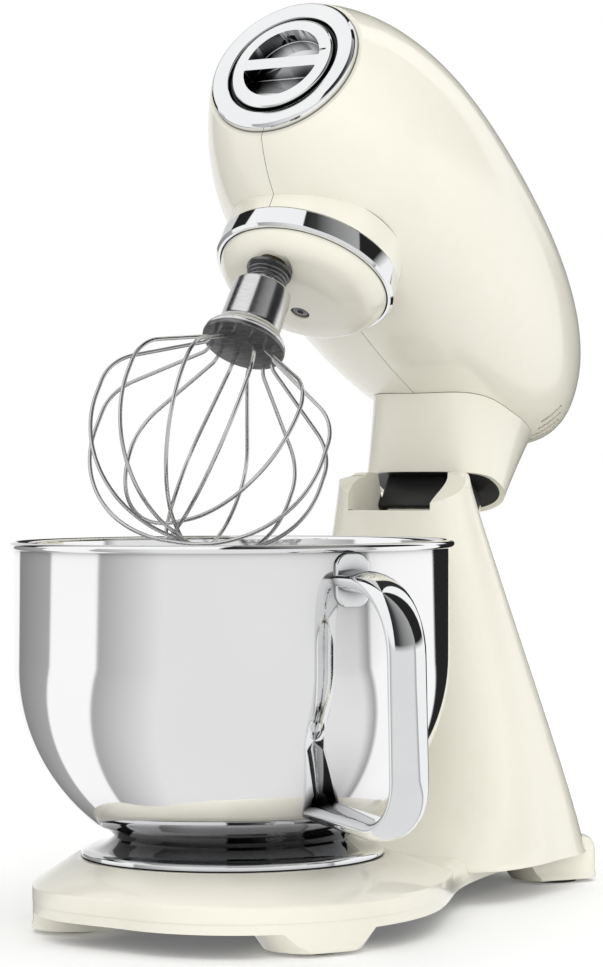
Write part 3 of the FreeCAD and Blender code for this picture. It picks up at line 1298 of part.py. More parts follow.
def make_planet_carrier():
    """Domed planet cover on the carrier shaft, with the bush of the beater shaft."""
    rim = S.ring_bore - S.dome_gap
    shoulder = S.dome_low + S.dome_round
    rim_top = RING_GEAR_LOW - N.dome_gap
    hub_top = RING_GEAR_LOW + N.planet_face
    inner = S.dome_round - S.dome_wall
    cover = turned([
        (0, S.dome_low), (rim - S.dome_round, S.dome_low, S.dome_round), (rim, shoulder), (rim, rim_top),
        (rim - S.dome_wall, rim_top), (rim - S.dome_wall, shoulder, inner * -1),
        (rim - S.dome_round, S.dome_low + S.dome_wall), (S.dome_hub, S.dome_low + S.dome_wall),
        (S.dome_hub, hub_top), (S.carrier_radius, hub_top),
        (S.carrier_radius, S.dome_low + S.dome_floor), (0, S.dome_low + S.dome_floor)])
    boss_high = rim_top - N.dome_low
    boss = cylinder(S.bush_boss, boss_high, (0, -ORBIT, N.dome_low))
    bore = cylinder(S.beater_bush_radius, boss_high * 2, (0, -ORBIT, N.dome_low - OVERLAP))
    node("planet_cover", cut(fuse(cover, boss), bore), RAISED)
    bush = cylinder(S.beater_bush_radius, boss_high, (0, -ORBIT, N.dome_low))
    hole = cylinder(S.beater_radius + S.running_fit, boss_high, (0, -ORBIT, N.dome_low))
    node("beater_bush", cut(bush, hole), RAISED)
    shaft_low = N.dome_low + N.dome_floor
    shaft_high = CARRIER_GEAR_LOW + N.final_face - shaft_low
    node("carrier_shaft", cylinder(S.carrier_radius, shaft_high, (0, 0, shaft_low)), RAISED)
    gear = shaped("gear", gear_shape(N.final_module, N.large_teeth, N.final_face, TOWARDS_BACK))
    gear.Placement = place((0, 0, CARRIER_GEAR_LOW))
    bored = cut(gear, cylinder(S.carrier_radius, S.final_face, (0, 0, CARRIER_GEAR_LOW)))
    node("carrier_gear", bored, RAISED)


def make_drive():
    """Motor with its pinion and fan, and the idler between motor and carrier."""
    phase = TOWARDS_FRONT + half_pitch(N.small_teeth)
    pinion = shaped("pinion", gear_shape(N.final_module, N.small_teeth, N.final_face, phase))
    pinion.Placement = place((0, 0, CARRIER_GEAR_LOW))
    wheel = shaped("wheel", gear_shape(N.first_module, N.large_teeth, N.first_face, TOWARDS_BACK))
    wheel.Placement = place((0, 0, IDLER_GEAR_LOW))
    shaft = cylinder(S.idler_radius, MOTOR_LOW - N.plate_low, (0, 0, N.plate_low))
    node("idler_gear", fuse(shaft, pinion, wheel), RAISED.multiply(IDLER))

    plate_long = MOTOR_Y - IDLER_Y + N.motor_radius + N.motor_plate_front + N.motor_plate_rear
    plate = box(S.plate_half * 2, plate_long, S.motor_plate_thick,
                (0, IDLER_Y - N.motor_plate_front, MOTOR_PLATE_LOW))
    posts = [cylinder(S.post_radius, MOTOR_PLATE_LOW - PLATE_TOP, (x, y, PLATE_TOP)) for x, y in POSTS]
    through = S.motor_plate_thick * 3
    start = MOTOR_PLATE_LOW - N.motor_plate_thick
    holes = [cylinder(S.idler_radius + S.running_fit, through, (0, IDLER_Y, start)),
             cylinder(S.rotor_radius + S.running_fit, through, (0, MOTOR_Y, start))]
    node("motor_plate", cut(fuse(plate, *posts), *holes), RAISED)
    inner = S.motor_radius - S.motor_wall
    bore = S.rotor_radius + S.running_fit
    node("motor_can", turned([
        (S.motor_radius, MOTOR_LOW), (S.motor_radius, MOTOR_TOP), (bore, MOTOR_TOP),
        (bore, MOTOR_TOP - N.motor_wall), (inner, MOTOR_TOP - N.motor_wall), (inner, MOTOR_LOW)]),
        RAISED.multiply(MOTOR))
    phase = TOWARDS_FRONT + half_pitch(N.small_teeth)
    drive = shaped("drive", gear_shape(N.first_module, N.small_teeth, N.first_face, phase))
    drive.Placement = place((0, 0, IDLER_GEAR_LOW))
    spindle = cylinder(S.rotor_radius, MOTOR_TOP - IDLER_GEAR_LOW, (0, 0, IDLER_GEAR_LOW))
    core = cylinder(inner - S.rotor_gap, S.motor_high / 2, (0, 0, MOTOR_LOW + N.rotor_lift))
    node("motor_rotor", fuse(spindle, drive, core), RAISED.multiply(MOTOR))
    fan_low = MOTOR_LOW + N.motor_high / 2 + N.fan_lift
    disc = cylinder(S.fan_radius, S.fan_disc, (0, 0, fan_low))
    hub = cylinder(S.rotor_radius + S.fan_hub, S.fan_high, (0, 0, fan_low))
    blades = []
    count = int(N.fan_blades)
    for i in range(count):
        blade = box(S.blade_thick, S.fan_radius - S.rotor_radius - OVERLAP, S.fan_high,
                    (0, N.rotor_radius + OVERLAP, fan_low))
        blade.Placement = place((0, 0, 0), Z_AXIS, 360 / count * i).multiply(blade.Placement)
        blades.append(blade)
    fan = cut(fuse(disc, hub, *blades), cylinder(S.rotor_radius, S.fan_high, (0, 0, fan_low)))
    node("motor_fan", fan, RAISED.multiply(MOTOR))
    board_y = MOTOR_Y + N.motor_radius + N.board_gap
    node("control_board", box(S.board_width, S.board_thick, S.board_high, (0, board_y, MOTOR_LOW)), RAISED)


# Beater shaft and whisk


WASHER_LOW = N.dome_low - N.sweep_gap - N.washer_thick
CROSS_PIN_HEIGHT = N.ferrule_top - N.ferrule_top_wall - N.cross_pin_radius - N.running_fit
SHAFT_LOW = CROSS_PIN_HEIGHT - N.shaft_end
PLATE_LOW = N.ferrule_low - N.whisk_plate_thick


def make_beater_shaft():
    """Shaft with its planet pinion, cross pin, spring washer and spring."""
    pose = RAISED.multiply(BEATER)
    pinion_low = RING_GEAR_LOW + N.seat_gap
    shaft = cylinder(S.beater_radius, pinion_low + N.planet_face - SHAFT_LOW, (0, 0, SHAFT_LOW))
    pin_hole = along_x(S.cross_pin_radius, S.beater_radius * 4, 0, CROSS_PIN_HEIGHT)
    node("beater_shaft", cut(shaft, pin_hole), pose)
    node("cross_pin", along_x(S.cross_pin_radius, S.pin_reach * 2, 0, CROSS_PIN_HEIGHT), pose)
    width = N.planet_face - N.seat_gap * 2
    pinion = shaped("planet", gear_shape(N.planet_module, N.planet_teeth, width, TOWARDS_FRONT))
    pinion.Placement = place((0, 0, pinion_low))
    node("planet_pinion", cut(pinion, cylinder(S.beater_radius, S.planet_face, (0, 0, pinion_low))), pose)
    washer = cylinder(S.washer_radius, S.washer_thick, (0, 0, WASHER_LOW))
    node("spring_washer", cut(washer, cylinder(S.beater_radius, S.washer_thick, (0, 0, WASHER_LOW))), pose)
    low = N.ferrule_top + N.spring_wire + N.spring_clear
    high = WASHER_LOW - N.spring_wire - N.spring_clear
    coil, path = coil_shape(
        low, high, N.spring_low_radius, N.spring_top_radius, N.spring_turns, N.spring_wire)
    print("spring least gap between turns %.2f mm" % least_gap(path, N.spring_turns, N.spring_wire))
    node("beater_spring", shaped("coil", coil), pose)


def least_gap(path, turns, wire):
    """Clear distance from each point of a coil to the turns beside it."""
    count = int(turns * 48)
    points = path.discretize(count)
    per_turn = int(count / turns)
    least = min((points[i] - points[j]).Length
                for i in range(count) for j in range(i + per_turn // 2, count))
    return least - 2 * wire


def make_whisk():
    """Ferrule with its bayonet slot, end plate and wire loops that cross below."""
    pose = RAISED.multiply(BEATER)
    top = S.ferrule_top
    wall = top - S.ferrule_top_wall
    bore = S.beater_radius + S.running_fit
    body = turned([
        (0, S.ferrule_low), (S.ferrule_radius, S.ferrule_low),
        (S.ferrule_radius, top - S.collar_high, S.collar_curve * -1),
        (S.ferrule_collar, top - S.collar_edge), (S.ferrule_collar, top), (bore, top), (bore, wall),
        (S.ferrule_cavity, wall), (S.ferrule_cavity, S.ferrule_low + S.ferrule_floor),
        (0, S.ferrule_low + S.ferrule_floor)])
    play = S.seat_gap * 2
    entry = box(S.cross_pin_radius * 2 + play, (S.pin_reach + play) * 2, S.ferrule_top_wall + OVERLAP * 2,
                (0, -N.pin_reach - number(play), number(wall) - OVERLAP))
    node("whisk_ferrule", cut(body, entry), pose)
    node("whisk_plate", cylinder(S.whisk_plate_radius, S.whisk_plate_thick, (0, 0, PLATE_LOW)), pose)
    loops = int(N.wire_loops)
    for i in range(loops):
        loop = shaped("loop", wire_loop(N.whisk_low + N.wire_step * i))
        loop.Placement = place((0, 0, 0), Z_AXIS, 180 / loops * (i + 0.5))
        node("whisk_wire_%d" % (i + 1), loop, pose)


def wire_loop(low):
    """One loop: straight flare, shoulder bend and round bottom, the same on both sides."""
    ring = N.wire_circle
    wide = N.whisk_radius
    bottom = N.whisk_radius - N.bottom_flat
    side = [(ring, PLATE_LOW, 0), (ring, PLATE_LOW - N.wire_drop, N.wire_root_bend),
            (wide, N.whisk_shoulder, N.shoulder_bend), (wide, low, bottom)]
    corners = [(V(x, 0, z), bend) for x, z, bend in side]
    corners += [(V(-p.x, 0, p.z), bend) for p, bend in reversed(corners)]
    path = rounded_path(corners)
    start = Part.Circle(V(ring, 0, PLATE_LOW), V(0, 0, -1), N.wire_radius).toShape()
    return piped(path, Part.Wire([start]))


# Assembly


for make in (
        make_casting, make_base_fittings, make_bowl_seat, make_hinge, make_release_button,
        make_bowl, make_bowl_foot, make_bowl_handle, make_head_shells, make_hub, make_neck,
        make_speed_control, make_head_fittings, make_planet_carrier, make_drive,
        make_beater_shaft, make_whisk):
    make()
doc.recompute()
for label, (obj, pose) in nodes.items():
    obj.Placement = pose.multiply(obj.Placement)

for obj in doc.Objects:
    if "Invalid" in obj.State or "Error" in obj.State:
        raise RuntimeError("%s (%s) failed: %s" % (obj.Name, obj.Label, obj.State))
for label, (obj, pose) in nodes.items():
    if obj.Shape.isNull() or not obj.Shape.isValid() or not obj.Shape.Solids:
        raise RuntimeError(label + " has no valid solid")

os.makedirs("parts", exist_ok=True)
for label, (obj, pose) in nodes.items():
    obj.Shape.exportStep("parts/%s.step" % label)
print("nodes", len(nodes))
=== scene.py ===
# Looks of the stand mixer: camera, light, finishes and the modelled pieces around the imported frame.
# Metres; +Z up, front towards -Y, the bowl handle on the +X side.
import json
import math
import bpy
from mathutils import Matrix, Vector
from mathutils.bvhtree import BVHTree


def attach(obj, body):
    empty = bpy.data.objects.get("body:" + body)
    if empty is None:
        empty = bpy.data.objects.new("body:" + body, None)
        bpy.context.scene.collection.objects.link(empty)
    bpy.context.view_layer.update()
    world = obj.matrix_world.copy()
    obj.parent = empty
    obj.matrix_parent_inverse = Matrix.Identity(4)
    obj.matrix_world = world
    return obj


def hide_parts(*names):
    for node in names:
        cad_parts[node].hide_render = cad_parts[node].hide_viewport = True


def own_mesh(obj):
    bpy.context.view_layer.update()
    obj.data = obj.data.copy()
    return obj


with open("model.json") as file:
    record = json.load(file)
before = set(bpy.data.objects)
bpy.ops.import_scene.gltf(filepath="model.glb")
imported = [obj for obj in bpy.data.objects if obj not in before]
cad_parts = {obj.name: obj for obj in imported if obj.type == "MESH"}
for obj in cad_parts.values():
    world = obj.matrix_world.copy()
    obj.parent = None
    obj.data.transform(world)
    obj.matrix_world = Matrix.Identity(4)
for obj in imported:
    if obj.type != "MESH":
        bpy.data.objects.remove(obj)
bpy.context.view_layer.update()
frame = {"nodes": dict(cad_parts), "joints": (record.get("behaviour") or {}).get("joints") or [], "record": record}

MM = 0.001
NODES = frame["nodes"]
JOINTS = {joint["name"]: joint for joint in frame["joints"]}
SLOT_OF = {row["node"]: row["material_slot"] for row in frame["record"]["subparts"]}

# The head was drawn level and swung up about the hinge.
HINGE = Vector(JOINTS["head_tilt"]["pos_m"])
TILT = math.radians(JOINTS["head_tilt"]["range_deg"][1])
RAISED = Matrix.Translation(HINGE) @ Matrix.Rotation(-TILT, 4, "X") @ Matrix.Translation(-HINGE)
BEATER_LEVEL = RAISED.inverted() @ Vector(JOINTS["beater_spin"]["pos_m"])
BEATER = RAISED @ Matrix.Translation((0, BEATER_LEVEL.y, 0))
UPRIGHT = Matrix.Identity(4)


def local_box(node, pose):
    """Lowest and highest corner of a CAD node in the frame of a pose."""
    back = pose.inverted()
    points = [back @ vertex.co for vertex in NODES[node].data.vertices]
    low = Vector(min(p[i] for p in points) for i in range(3))
    high = Vector(max(p[i] for p in points) for i in range(3))
    return low, high


BEZEL_LOW, BEZEL_HIGH = local_box("hub_bezel", RAISED)
HUB_HEIGHT = (BEZEL_LOW.z + BEZEL_HIGH.z) / 2
HUB = RAISED @ Matrix.Translation((0, 0, HUB_HEIGHT)) @ Matrix.Rotation(math.pi / 2, 4, "X")


# Materials


def principled(name, colour, **sockets):
    """A new material with its shader's own sockets set."""
    material = bpy.data.materials.new(name)
    material.use_nodes = True
    shader = material.node_tree.nodes["Principled BSDF"]
    shader.inputs["Base Color"].default_value = (*colour, 1)
    for socket, value in sockets.items():
        shader.inputs[socket.replace("_", " ")].default_value = value
    return material


def grain(material, scale, detail=4, stretch=(1, 1, 1)):
    """Noise on the object's own coordinates, stretched along its axes."""
    nodes, links = material.node_tree.nodes, material.node_tree.links
    place = nodes.new("ShaderNodeTexCoord")
    scaled = nodes.new("ShaderNodeMapping")
    scaled.inputs["Scale"].default_value = stretch
    noise = nodes.new("ShaderNodeTexNoise")
    noise.inputs["Scale"].default_value = scale
    noise.inputs["Detail"].default_value = detail
    links.new(place.outputs["Object"], scaled.inputs["Vector"])
    links.new(scaled.outputs["Vector"], noise.inputs["Vector"])
    return noise


def vary_colour(material, noise, first, second):
    """Colour that drifts between two shades with the noise."""
    nodes, links = material.node_tree.nodes, material.node_tree.links
    ramp = nodes.new("ShaderNodeValToRGB")
    ramp.color_ramp.elements[0].position = 0.35
    ramp.color_ramp.elements[0].color = (*first, 1)
    ramp.color_ramp.elements[1].position = 0.65
    ramp.color_ramp.elements[1].color = (*second, 1)
    links.new(noise.outputs["Fac"], ramp.inputs["Fac"])
    links.new(ramp.outputs["Color"], nodes["Principled BSDF"].inputs["Base Color"])


def vary_roughness(material, noise, low, high):
    nodes, links = material.node_tree.nodes, material.node_tree.links
    span = nodes.new("ShaderNodeMapRange")
    span.inputs["From Min"].default_value = 0.3
    span.inputs["From Max"].default_value = 0.7
    span.inputs["To Min"].default_value = low
    span.inputs["To Max"].default_value = high
    links.new(noise.outputs["Fac"], span.inputs["Value"])
    links.new(span.outputs["Result"], nodes["Principled BSDF"].inputs["Roughness"])


def emboss(material, noise, strength, distance):
    nodes, links = material.node_tree.nodes, material.node_tree.links
    bump = nodes.new("ShaderNodeBump")
    bump.inputs["Strength"].default_value = strength
    bump.inputs["Distance"].default_value = distance
    links.new(noise.outputs["Fac"], bump.inputs["Height"])
    links.new(bump.outputs["Normal"], nodes["Principled BSDF"].inputs["Normal"])


def paint_crease_shade(material, distance, painted_shade, shut=0.5, clear=0.72):
    """Painted shade: the colour turns towards a given dark shade where surfaces meet or shut each other in, found
    by ambient occlusion.
    """
    nodes, links = material.node_tree.nodes, material.node_tree.links
    colour = nodes["Principled BSDF"].inputs["Base Color"]
    plain = colour.links[0].from_socket
    near = nodes.new("ShaderNodeAmbientOcclusion")
    near.inputs["Distance"].default_value = distance
    open_share = nodes.new("ShaderNodeMapRange")
    open_share.inputs["From Min"].default_value = shut
    open_share.inputs["From Max"].default_value = clear
    blend = nodes.new("ShaderNodeMix")
    blend.data_type = "RGBA"
    blend.inputs["A"].default_value = (*painted_shade, 1)
    links.new(near.outputs["AO"], open_share.inputs["Value"])
    links.new(open_share.outputs["Result"], blend.inputs["Factor"])
    links.new(plain, blend.inputs["B"])
    links.new(blend.outputs["Result"], colour)


def cream_paint():
    """Glossy ivory enamel with a trace of orange peel."""
    paint = principled("cream_paint", (0.885, 0.862, 0.745), Roughness=0.32, Coat_Weight=0.7,
                       Coat_Roughness=0.03)
    vary_colour(paint, grain(paint, 90), (0.88, 0.857, 0.738), (0.89, 0.867, 0.752))
    # painted shade: the paint darkens in its creases and at the joints between parts
    paint_crease_shade(paint, 0.0018, (0.10, 0.095, 0.08))
    vary_roughness(paint, grain(paint, 240), 0.29, 0.34)
    emboss(paint, grain(paint, 900, 2), 0.02, 0.0002)
    return paint


def chrome():
    """Mirror plating with faint wiping marks."""
    plating = principled("chrome", (0.86, 0.87, 0.88), Metallic=1, Roughness=0.04)
    vary_colour(plating, grain(plating, 30), (0.85, 0.86, 0.87), (0.89, 0.895, 0.90))
    # painted reflection: the plating darkens in its hollows, standing in for the dark reflections there
    paint_crease_shade(plating, 0.016, (0.03, 0.03, 0.032), 0.4, 0.75)
    vary_roughness(plating, grain(plating, 45, 6), 0.02, 0.06)
    return plating


def polished_steel():
    """Polished stainless sheet with fine turning lines round the bowl."""
    steel = principled("polished_steel", (0.93, 0.93, 0.935), Metallic=1, Roughness=0.07)
    vary_colour(steel, grain(steel, 14), (0.92, 0.92, 0.925), (0.94, 0.94, 0.945))
    # painted shade: the sheet turns grey where nearby surfaces shut it in
    paint_crease_shade(steel, 0.045, (0.4, 0.395, 0.4), 0.4, 0.95)
    vary_roughness(steel, grain(steel, 40, 6, (0.3, 0.3, 14)), 0.025, 0.06)
    emboss(steel, grain(steel, 90, 3, (0.2, 0.2, 30)), 0.02, 0.0002)
    return steel


def satin_steel():
    """Brushed stainless of the whisk's sleeve, with streaks round it."""
    steel = principled("satin_steel", (0.72, 0.72, 0.725), Metallic=1, Roughness=0.24)
    vary_colour(steel, grain(steel, 160, 5, (1, 6, 6)), (0.69, 0.69, 0.695), (0.75, 0.75, 0.755))
    vary_roughness(steel, grain(steel, 260, 4, (1, 6, 6)), 0.14, 0.22)
    return steel


def whisk_wire():
    """Drawn stainless wire."""
    wire = principled("whisk_wire", (0.62, 0.62, 0.63), Metallic=1, Roughness=0.16)
    vary_colour(wire, grain(wire, 60), (0.58, 0.58, 0.59), (0.68, 0.68, 0.69))
    vary_roughness(wire, grain(wire, 300), 0.12, 0.2)
    return wire


def dark_steel():
    """Dark satin steel with brushed streaks."""
    steel = principled("dark_steel", (0.2, 0.2, 0.205), Metallic=1, Roughness=0.33)
    vary_colour(steel, grain(steel, 120, 4, (1, 6, 1)), (0.16, 0.16, 0.165), (0.26, 0.26, 0.265))
    vary_roughness(steel, grain(steel, 200, 3, (1, 8, 1)), 0.26, 0.4)
    return steel


def bright_steel():
    """Machined steel of screws, shafts and gears."""
    steel = principled("bright_steel", (0.6, 0.6, 0.61), Metallic=1, Roughness=0.25)
    vary_colour(steel, grain(steel, 90), (0.55, 0.55, 0.56), (0.65, 0.65, 0.66))
    vary_roughness(steel, grain(steel, 160, 4), 0.2, 0.32)
    return steel


def cast_aluminium():
    metal = principled("cast_aluminium", (0.62, 0.63, 0.64), Metallic=1, Roughness=0.42)
    vary_colour(metal, grain(metal, 70), (0.58, 0.59, 0.6), (0.66, 0.67, 0.68))
    emboss(metal, grain(metal, 900, 2), 0.15, 0.0003)
    return metal


def bronze():
    """Sintered bronze, dark with oil."""
    metal = principled("bronze", (0.08, 0.06, 0.04), Metallic=1, Roughness=0.5)
    vary_colour(metal, grain(metal, 110), (0.06, 0.045, 0.03), (0.1, 0.075, 0.05))
    vary_roughness(metal, grain(metal, 240), 0.45, 0.6)
    return metal


def black_plastic():
    """Moulded black plastic with a fine spark texture."""
    plastic = principled("black_plastic", (0.015, 0.015, 0.016), Roughness=0.45)
    vary_colour(plastic, grain(plastic, 40), (0.012, 0.012, 0.013), (0.022, 0.022, 0.023))
    emboss(plastic, grain(plastic, 1400, 2), 0.2, 0.0002)
    return plastic


def rubber():
    soft = principled("rubber", (0.02, 0.02, 0.02), Roughness=0.7)
    vary_colour(soft, grain(soft, 80), (0.016, 0.016, 0.016), (0.03, 0.03, 0.03))
    emboss(soft, grain(soft, 1000, 3), 0.3, 0.0003)
    return soft


FINISH = {make.__name__: make() for make in (
    cream_paint, chrome, polished_steel, satin_steel, whisk_wire, dark_steel, bright_steel,
    cast_aluminium, bronze, black_plastic, rubber)}

for node, piece in NODES.items():
    piece.data.materials.clear()
    piece.data.materials.append(FINISH[SLOT_OF[node]])


# Modelling

SMOOTH_UP_TO = 40
COPY_SMOOTH_UP_TO = 30
MERGE_WITHIN = 1e-6


def new_piece(name):
    """The primitive just added, under its own name."""
    piece = bpy.context.object
    piece.name = name
    piece.data.name = name
    return piece


def choose(piece):
    """Makes a piece the only one selected, and the active one."""
    bpy.ops.object.select_all(action="DESELECT")
    bpy.context.view_layer.objects.active = piece
    piece.select_set(True)


def edit(piece):
    choose(piece)
    bpy.ops.object.mode_set(mode="EDIT")
    bpy.ops.mesh.select_all(action="SELECT")


def smooth(angle):
    bpy.ops.object.shade_smooth_by_angle(angle=math.radians(angle))


def settle(piece, pose, angle=SMOOTH_UP_TO):
    """Leaves edit mode, sets the mesh in its pose and shades it smooth up to an angle."""
    bpy.ops.object.mode_set(mode="OBJECT")
    piece.data.transform(pose)
    smooth(angle)
    return piece


def draw_line(name, points):
    """Chain of edges through points in metres, left selected in edit mode."""
    bpy.ops.object.select_all(action="DESELECT")
    bpy.ops.mesh.primitive_plane_add(size=MM)
    piece = new_piece(name)
    edit(piece)
    bpy.ops.mesh.merge(type="CENTER")
    bpy.ops.transform.translate(value=points[0])
    for here, there in zip(points, points[1:]):
        step = [end - start for start, end in zip(here, there)]
        bpy.ops.mesh.extrude_vertices_move(TRANSFORM_OT_translate={"value": step})
    bpy.ops.mesh.select_all(action="SELECT")
    return piece


def turn(name, outline, pose, steps=128):
    """Spins an outline of (radius, height) points, in metres, about the Z axis of its pose."""
    piece = draw_line(name, [(radius, 0, height) for radius, height in outline])
    bpy.ops.mesh.spin(steps=steps, angle=2 * math.pi, center=(0, 0, 0), axis=(0, 0, 1))
    bpy.ops.mesh.select_all(action="SELECT")
    bpy.ops.mesh.remove_doubles(threshold=MERGE_WITHIN)
    bpy.ops.mesh.normals_make_consistent(inside=False)
    return settle(piece, pose)


def rounded(corners, steps=6):
    """Outline in metres through (radius, height, rounding) corners in millimetres, each corner rounded."""
    points = []
    count = len(corners)
    for i, (x, y, rounding) in enumerate(corners):
        here = Vector((x, y))
        before = Vector(corners[i - 1][:2]) if i else here
        after = Vector(corners[i + 1][:2]) if i + 1 < count else here
        if rounding == 0 or here in (before, after):
            points.append(here * MM)
            continue
        into, out = (before - here).normalized(), (after - here).normalized()
        half = into.angle(out) / 2
        reach = rounding / math.tan(half)
        centre = here + (into + out).normalized() * (rounding / math.sin(half))
        first, last = here + into * reach - centre, here + out * reach - centre
        sweep = first.angle_signed(last)
        for k in range(steps + 1):
            point = first.copy()
            point.rotate(Matrix.Rotation(-sweep * k / steps, 2))
            points.append((centre + point) * MM)
    return [(p.x, p.y) for p in points]


def fit(piece, body, slot, *nodes, finish=None):
    """Gives a finished piece its finish, its body and the CAD nodes that it stands for."""
    piece.data.materials.clear()
    piece.data.materials.append(FINISH[finish or slot])
    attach(piece, body)
    if nodes:
        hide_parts(*nodes)
    return piece


def arc(centre, radius, first, last, steps):
    """Points of a circle between two angles, in degrees, in millimetres."""
    angles = [math.radians(first + (last - first) * k / steps) for k in range(steps + 1)]
    return [(centre[0] + radius * math.cos(a), centre[1] + radius * math.sin(a)) for a in angles]


def metres(points):
    """An outline in millimetres, in metres."""
    return [(x * MM, y * MM) for x, y in points]


def round_edges(piece, width, segments, along=None):
    """Bevel modifier, applied; with an axis named, only the edges along it."""
    choose(piece)
    bevel = piece.modifiers.new("round", "BEVEL")
    bevel.width = width
    bevel.segments = segments
    if along:
        axis = "XYZ".index(along)
        weights = piece.data.attributes.new("bevel_weight_edge", "FLOAT", "EDGE")
        points = piece.data.vertices
        for edge in piece.data.edges:
            run = points[edge.vertices[0]].co - points[edge.vertices[1]].co
            weights.data[edge.index].value = float(abs(run[axis]) > 0.99 * run.length)
        bevel.limit_method = "WEIGHT"
    else:
        bevel.limit_method = "ANGLE"
        bevel.angle_limit = math.radians(SMOOTH_UP_TO)
    bpy.ops.object.modifier_apply(modifier="round")
    if along:
        piece.data.attributes.remove(piece.data.attributes["bevel_weight_edge"])
    smooth(SMOOTH_UP_TO)


def carve(piece, cutter):
    """Boolean difference, applied; the cutter is used up."""
    choose(piece)
    cut = piece.modifiers.new("cut", "BOOLEAN")
    cut.operation = "DIFFERENCE"
    cut.solver = "EXACT"
    cut.object = cutter
    bpy.ops.object.modifier_apply(modifier="cut")
    bpy.data.objects.remove(cutter)


def copy_of(node, name):
    """A piece of its own from a CAD node's mesh, with its doubles merged."""
    piece = bpy.data.objects.new(name, NODES[node].data.copy())
    bpy.context.scene.collection.objects.link(piece)
    edit(piece)
    bpy.ops.mesh.remove_doubles(threshold=MERGE_WITHIN)
    bpy.ops.mesh.normals_make_consistent(inside=False)
    bpy.ops.object.mode_set(mode="OBJECT")
    bpy.ops.mesh.customdata_custom_splitnormals_clear()
    smooth(COPY_SMOOTH_UP_TO)
    return piece


def prism(name, outline, near, far):
    """Block along X between two places, from an outline of (y, z) points, all in millimetres."""
    piece = draw_line(name, [(near * MM, y * MM, z * MM) for y, z in outline])
    bpy.ops.mesh.edge_face_add()
    bpy.ops.mesh.extrude_region_move(TRANSFORM_OT_translate={"value": ((far - near) * MM, 0, 0)})
    bpy.ops.mesh.select_all(action="SELECT")
    bpy.ops.mesh.normals_make_consistent(inside=False)
    return settle(piece, UPRIGHT)


# Bowl

WALL_RADIUS = 110.2
RIM_RADIUS = 110.9
SHEET = 1.2
RIM_HEIGHT = 195
ROLL = 2.1
CURVE = 105
CURVE_HEIGHT = 138
CURVE_TURN = 52
FLOOR = 50.5
FLOOR_RADIUS = 56


def make_bowl():
    """Thin steel shell with a rolled rim."""
    curve_centre = (WALL_RADIUS - CURVE, CURVE_HEIGHT)
    outside = arc(curve_centre, CURVE, -CURVE_TURN, 0, 40)
    inside = arc(curve_centre, CURVE - SHEET, 0, -CURVE_TURN, 40)
    rim = arc((RIM_RADIUS, RIM_HEIGHT), ROLL, -115, 180, 20)
    outline = [(0, FLOOR), (FLOOR_RADIUS, FLOOR)] + outside + rim + inside
    outline += [(FLOOR_RADIUS, FLOOR + SHEET), (0, FLOOR + SHEET)]
    fit(turn("bowl_shell", metres(outline), UPRIGHT, 192), "mixing_bowl", "polished_steel", "bowl")


def make_bowl_foot():
    """Chrome pedestal: a flat disc that sweeps into a narrow waist and out to a lip under the bowl."""
    flare = arc((72.5, 59), 16.4, -93, -152, 14)
    under_lip = arc((73.5, 39.0), 16.8, 148, 104, 12)
    outline = [(66, 39.7), (67, 38.7), (75.6, 38.7), (76.5, 39.4), (76.5, 41.2), (75.8, 42), (73.6, 42.5)]
    outline += flare + under_lip + [(69.6, 55.4), (69.9, 56.2), (69.2, 56.8), (62, 53.6), (54, 50.4)]
    outline += [(54, 45), (60, 41.6), (66, 39.7)]
    fit(turn("bowl_pedestal", metres(outline), UPRIGHT, 160), "mixing_bowl", "chrome", "bowl_foot")


HANDLE_AZIMUTH = math.radians(64)
TO_HANDLE_SIDE = Matrix.Rotation(HANDLE_AZIMUTH - math.pi / 2, 4, "Z")
# Corners of the loop as (out from the axis, height, rounding).
HANDLE_PATH = [(104, 180, 0), (155, 178, 34), (158, 61, 24), (78, 68, 0)]
GRIP_HALF_WIDE = 10.5
GRIP_HALF_THICK = 5.4
TAB_HALF_WIDE = 9.6
TAB_HALF_HIGH = 13
TAB_HALF_THICK = 2
TAB_FACE = 111.6
TAB_CORNER = 7
TAB_EDGE = 0.9


def make_bowl_handle():
    """Flattened loop drawn out ring by ring."""
    line = [Vector((x, 0, z)) for x, z in rounded(HANDLE_PATH, 14)]
    bpy.ops.object.select_all(action="DESELECT")
    bpy.ops.mesh.primitive_circle_add(vertices=40, radius=1, fill_type="NGON", location=line[0],
                                      rotation=(0, math.pi / 2, 0))
    piece = new_piece("handle_loop")
    piece.scale = (GRIP_HALF_THICK * MM, GRIP_HALF_WIDE * MM, 1)
    bpy.ops.object.transform_apply(location=True, rotation=True, scale=True)
    edit(piece)
    heading = math.atan2(line[1].z - line[0].z, line[1].x - line[0].x)
    bpy.ops.transform.rotate(value=heading, orient_axis="Y", center_override=line[0])
    for here, there, after in zip(line, line[1:], line[2:] + line[-1:]):
        bpy.ops.mesh.extrude_region_move(TRANSFORM_OT_translate={"value": there - here})
        ahead = after - here
        new_heading = math.atan2(ahead.z, ahead.x)
        swing = (new_heading - heading + math.pi) % (2 * math.pi) - math.pi
        bpy.ops.transform.rotate(value=swing, orient_axis="Y", center_override=there)
        heading = new_heading
    bpy.ops.mesh.select_all(action="SELECT")
    bpy.ops.mesh.normals_make_consistent(inside=False)
    settle(piece, TO_HANDLE_SIDE)
    fit(piece, "mixing_bowl", "chrome", "bowl_handle")


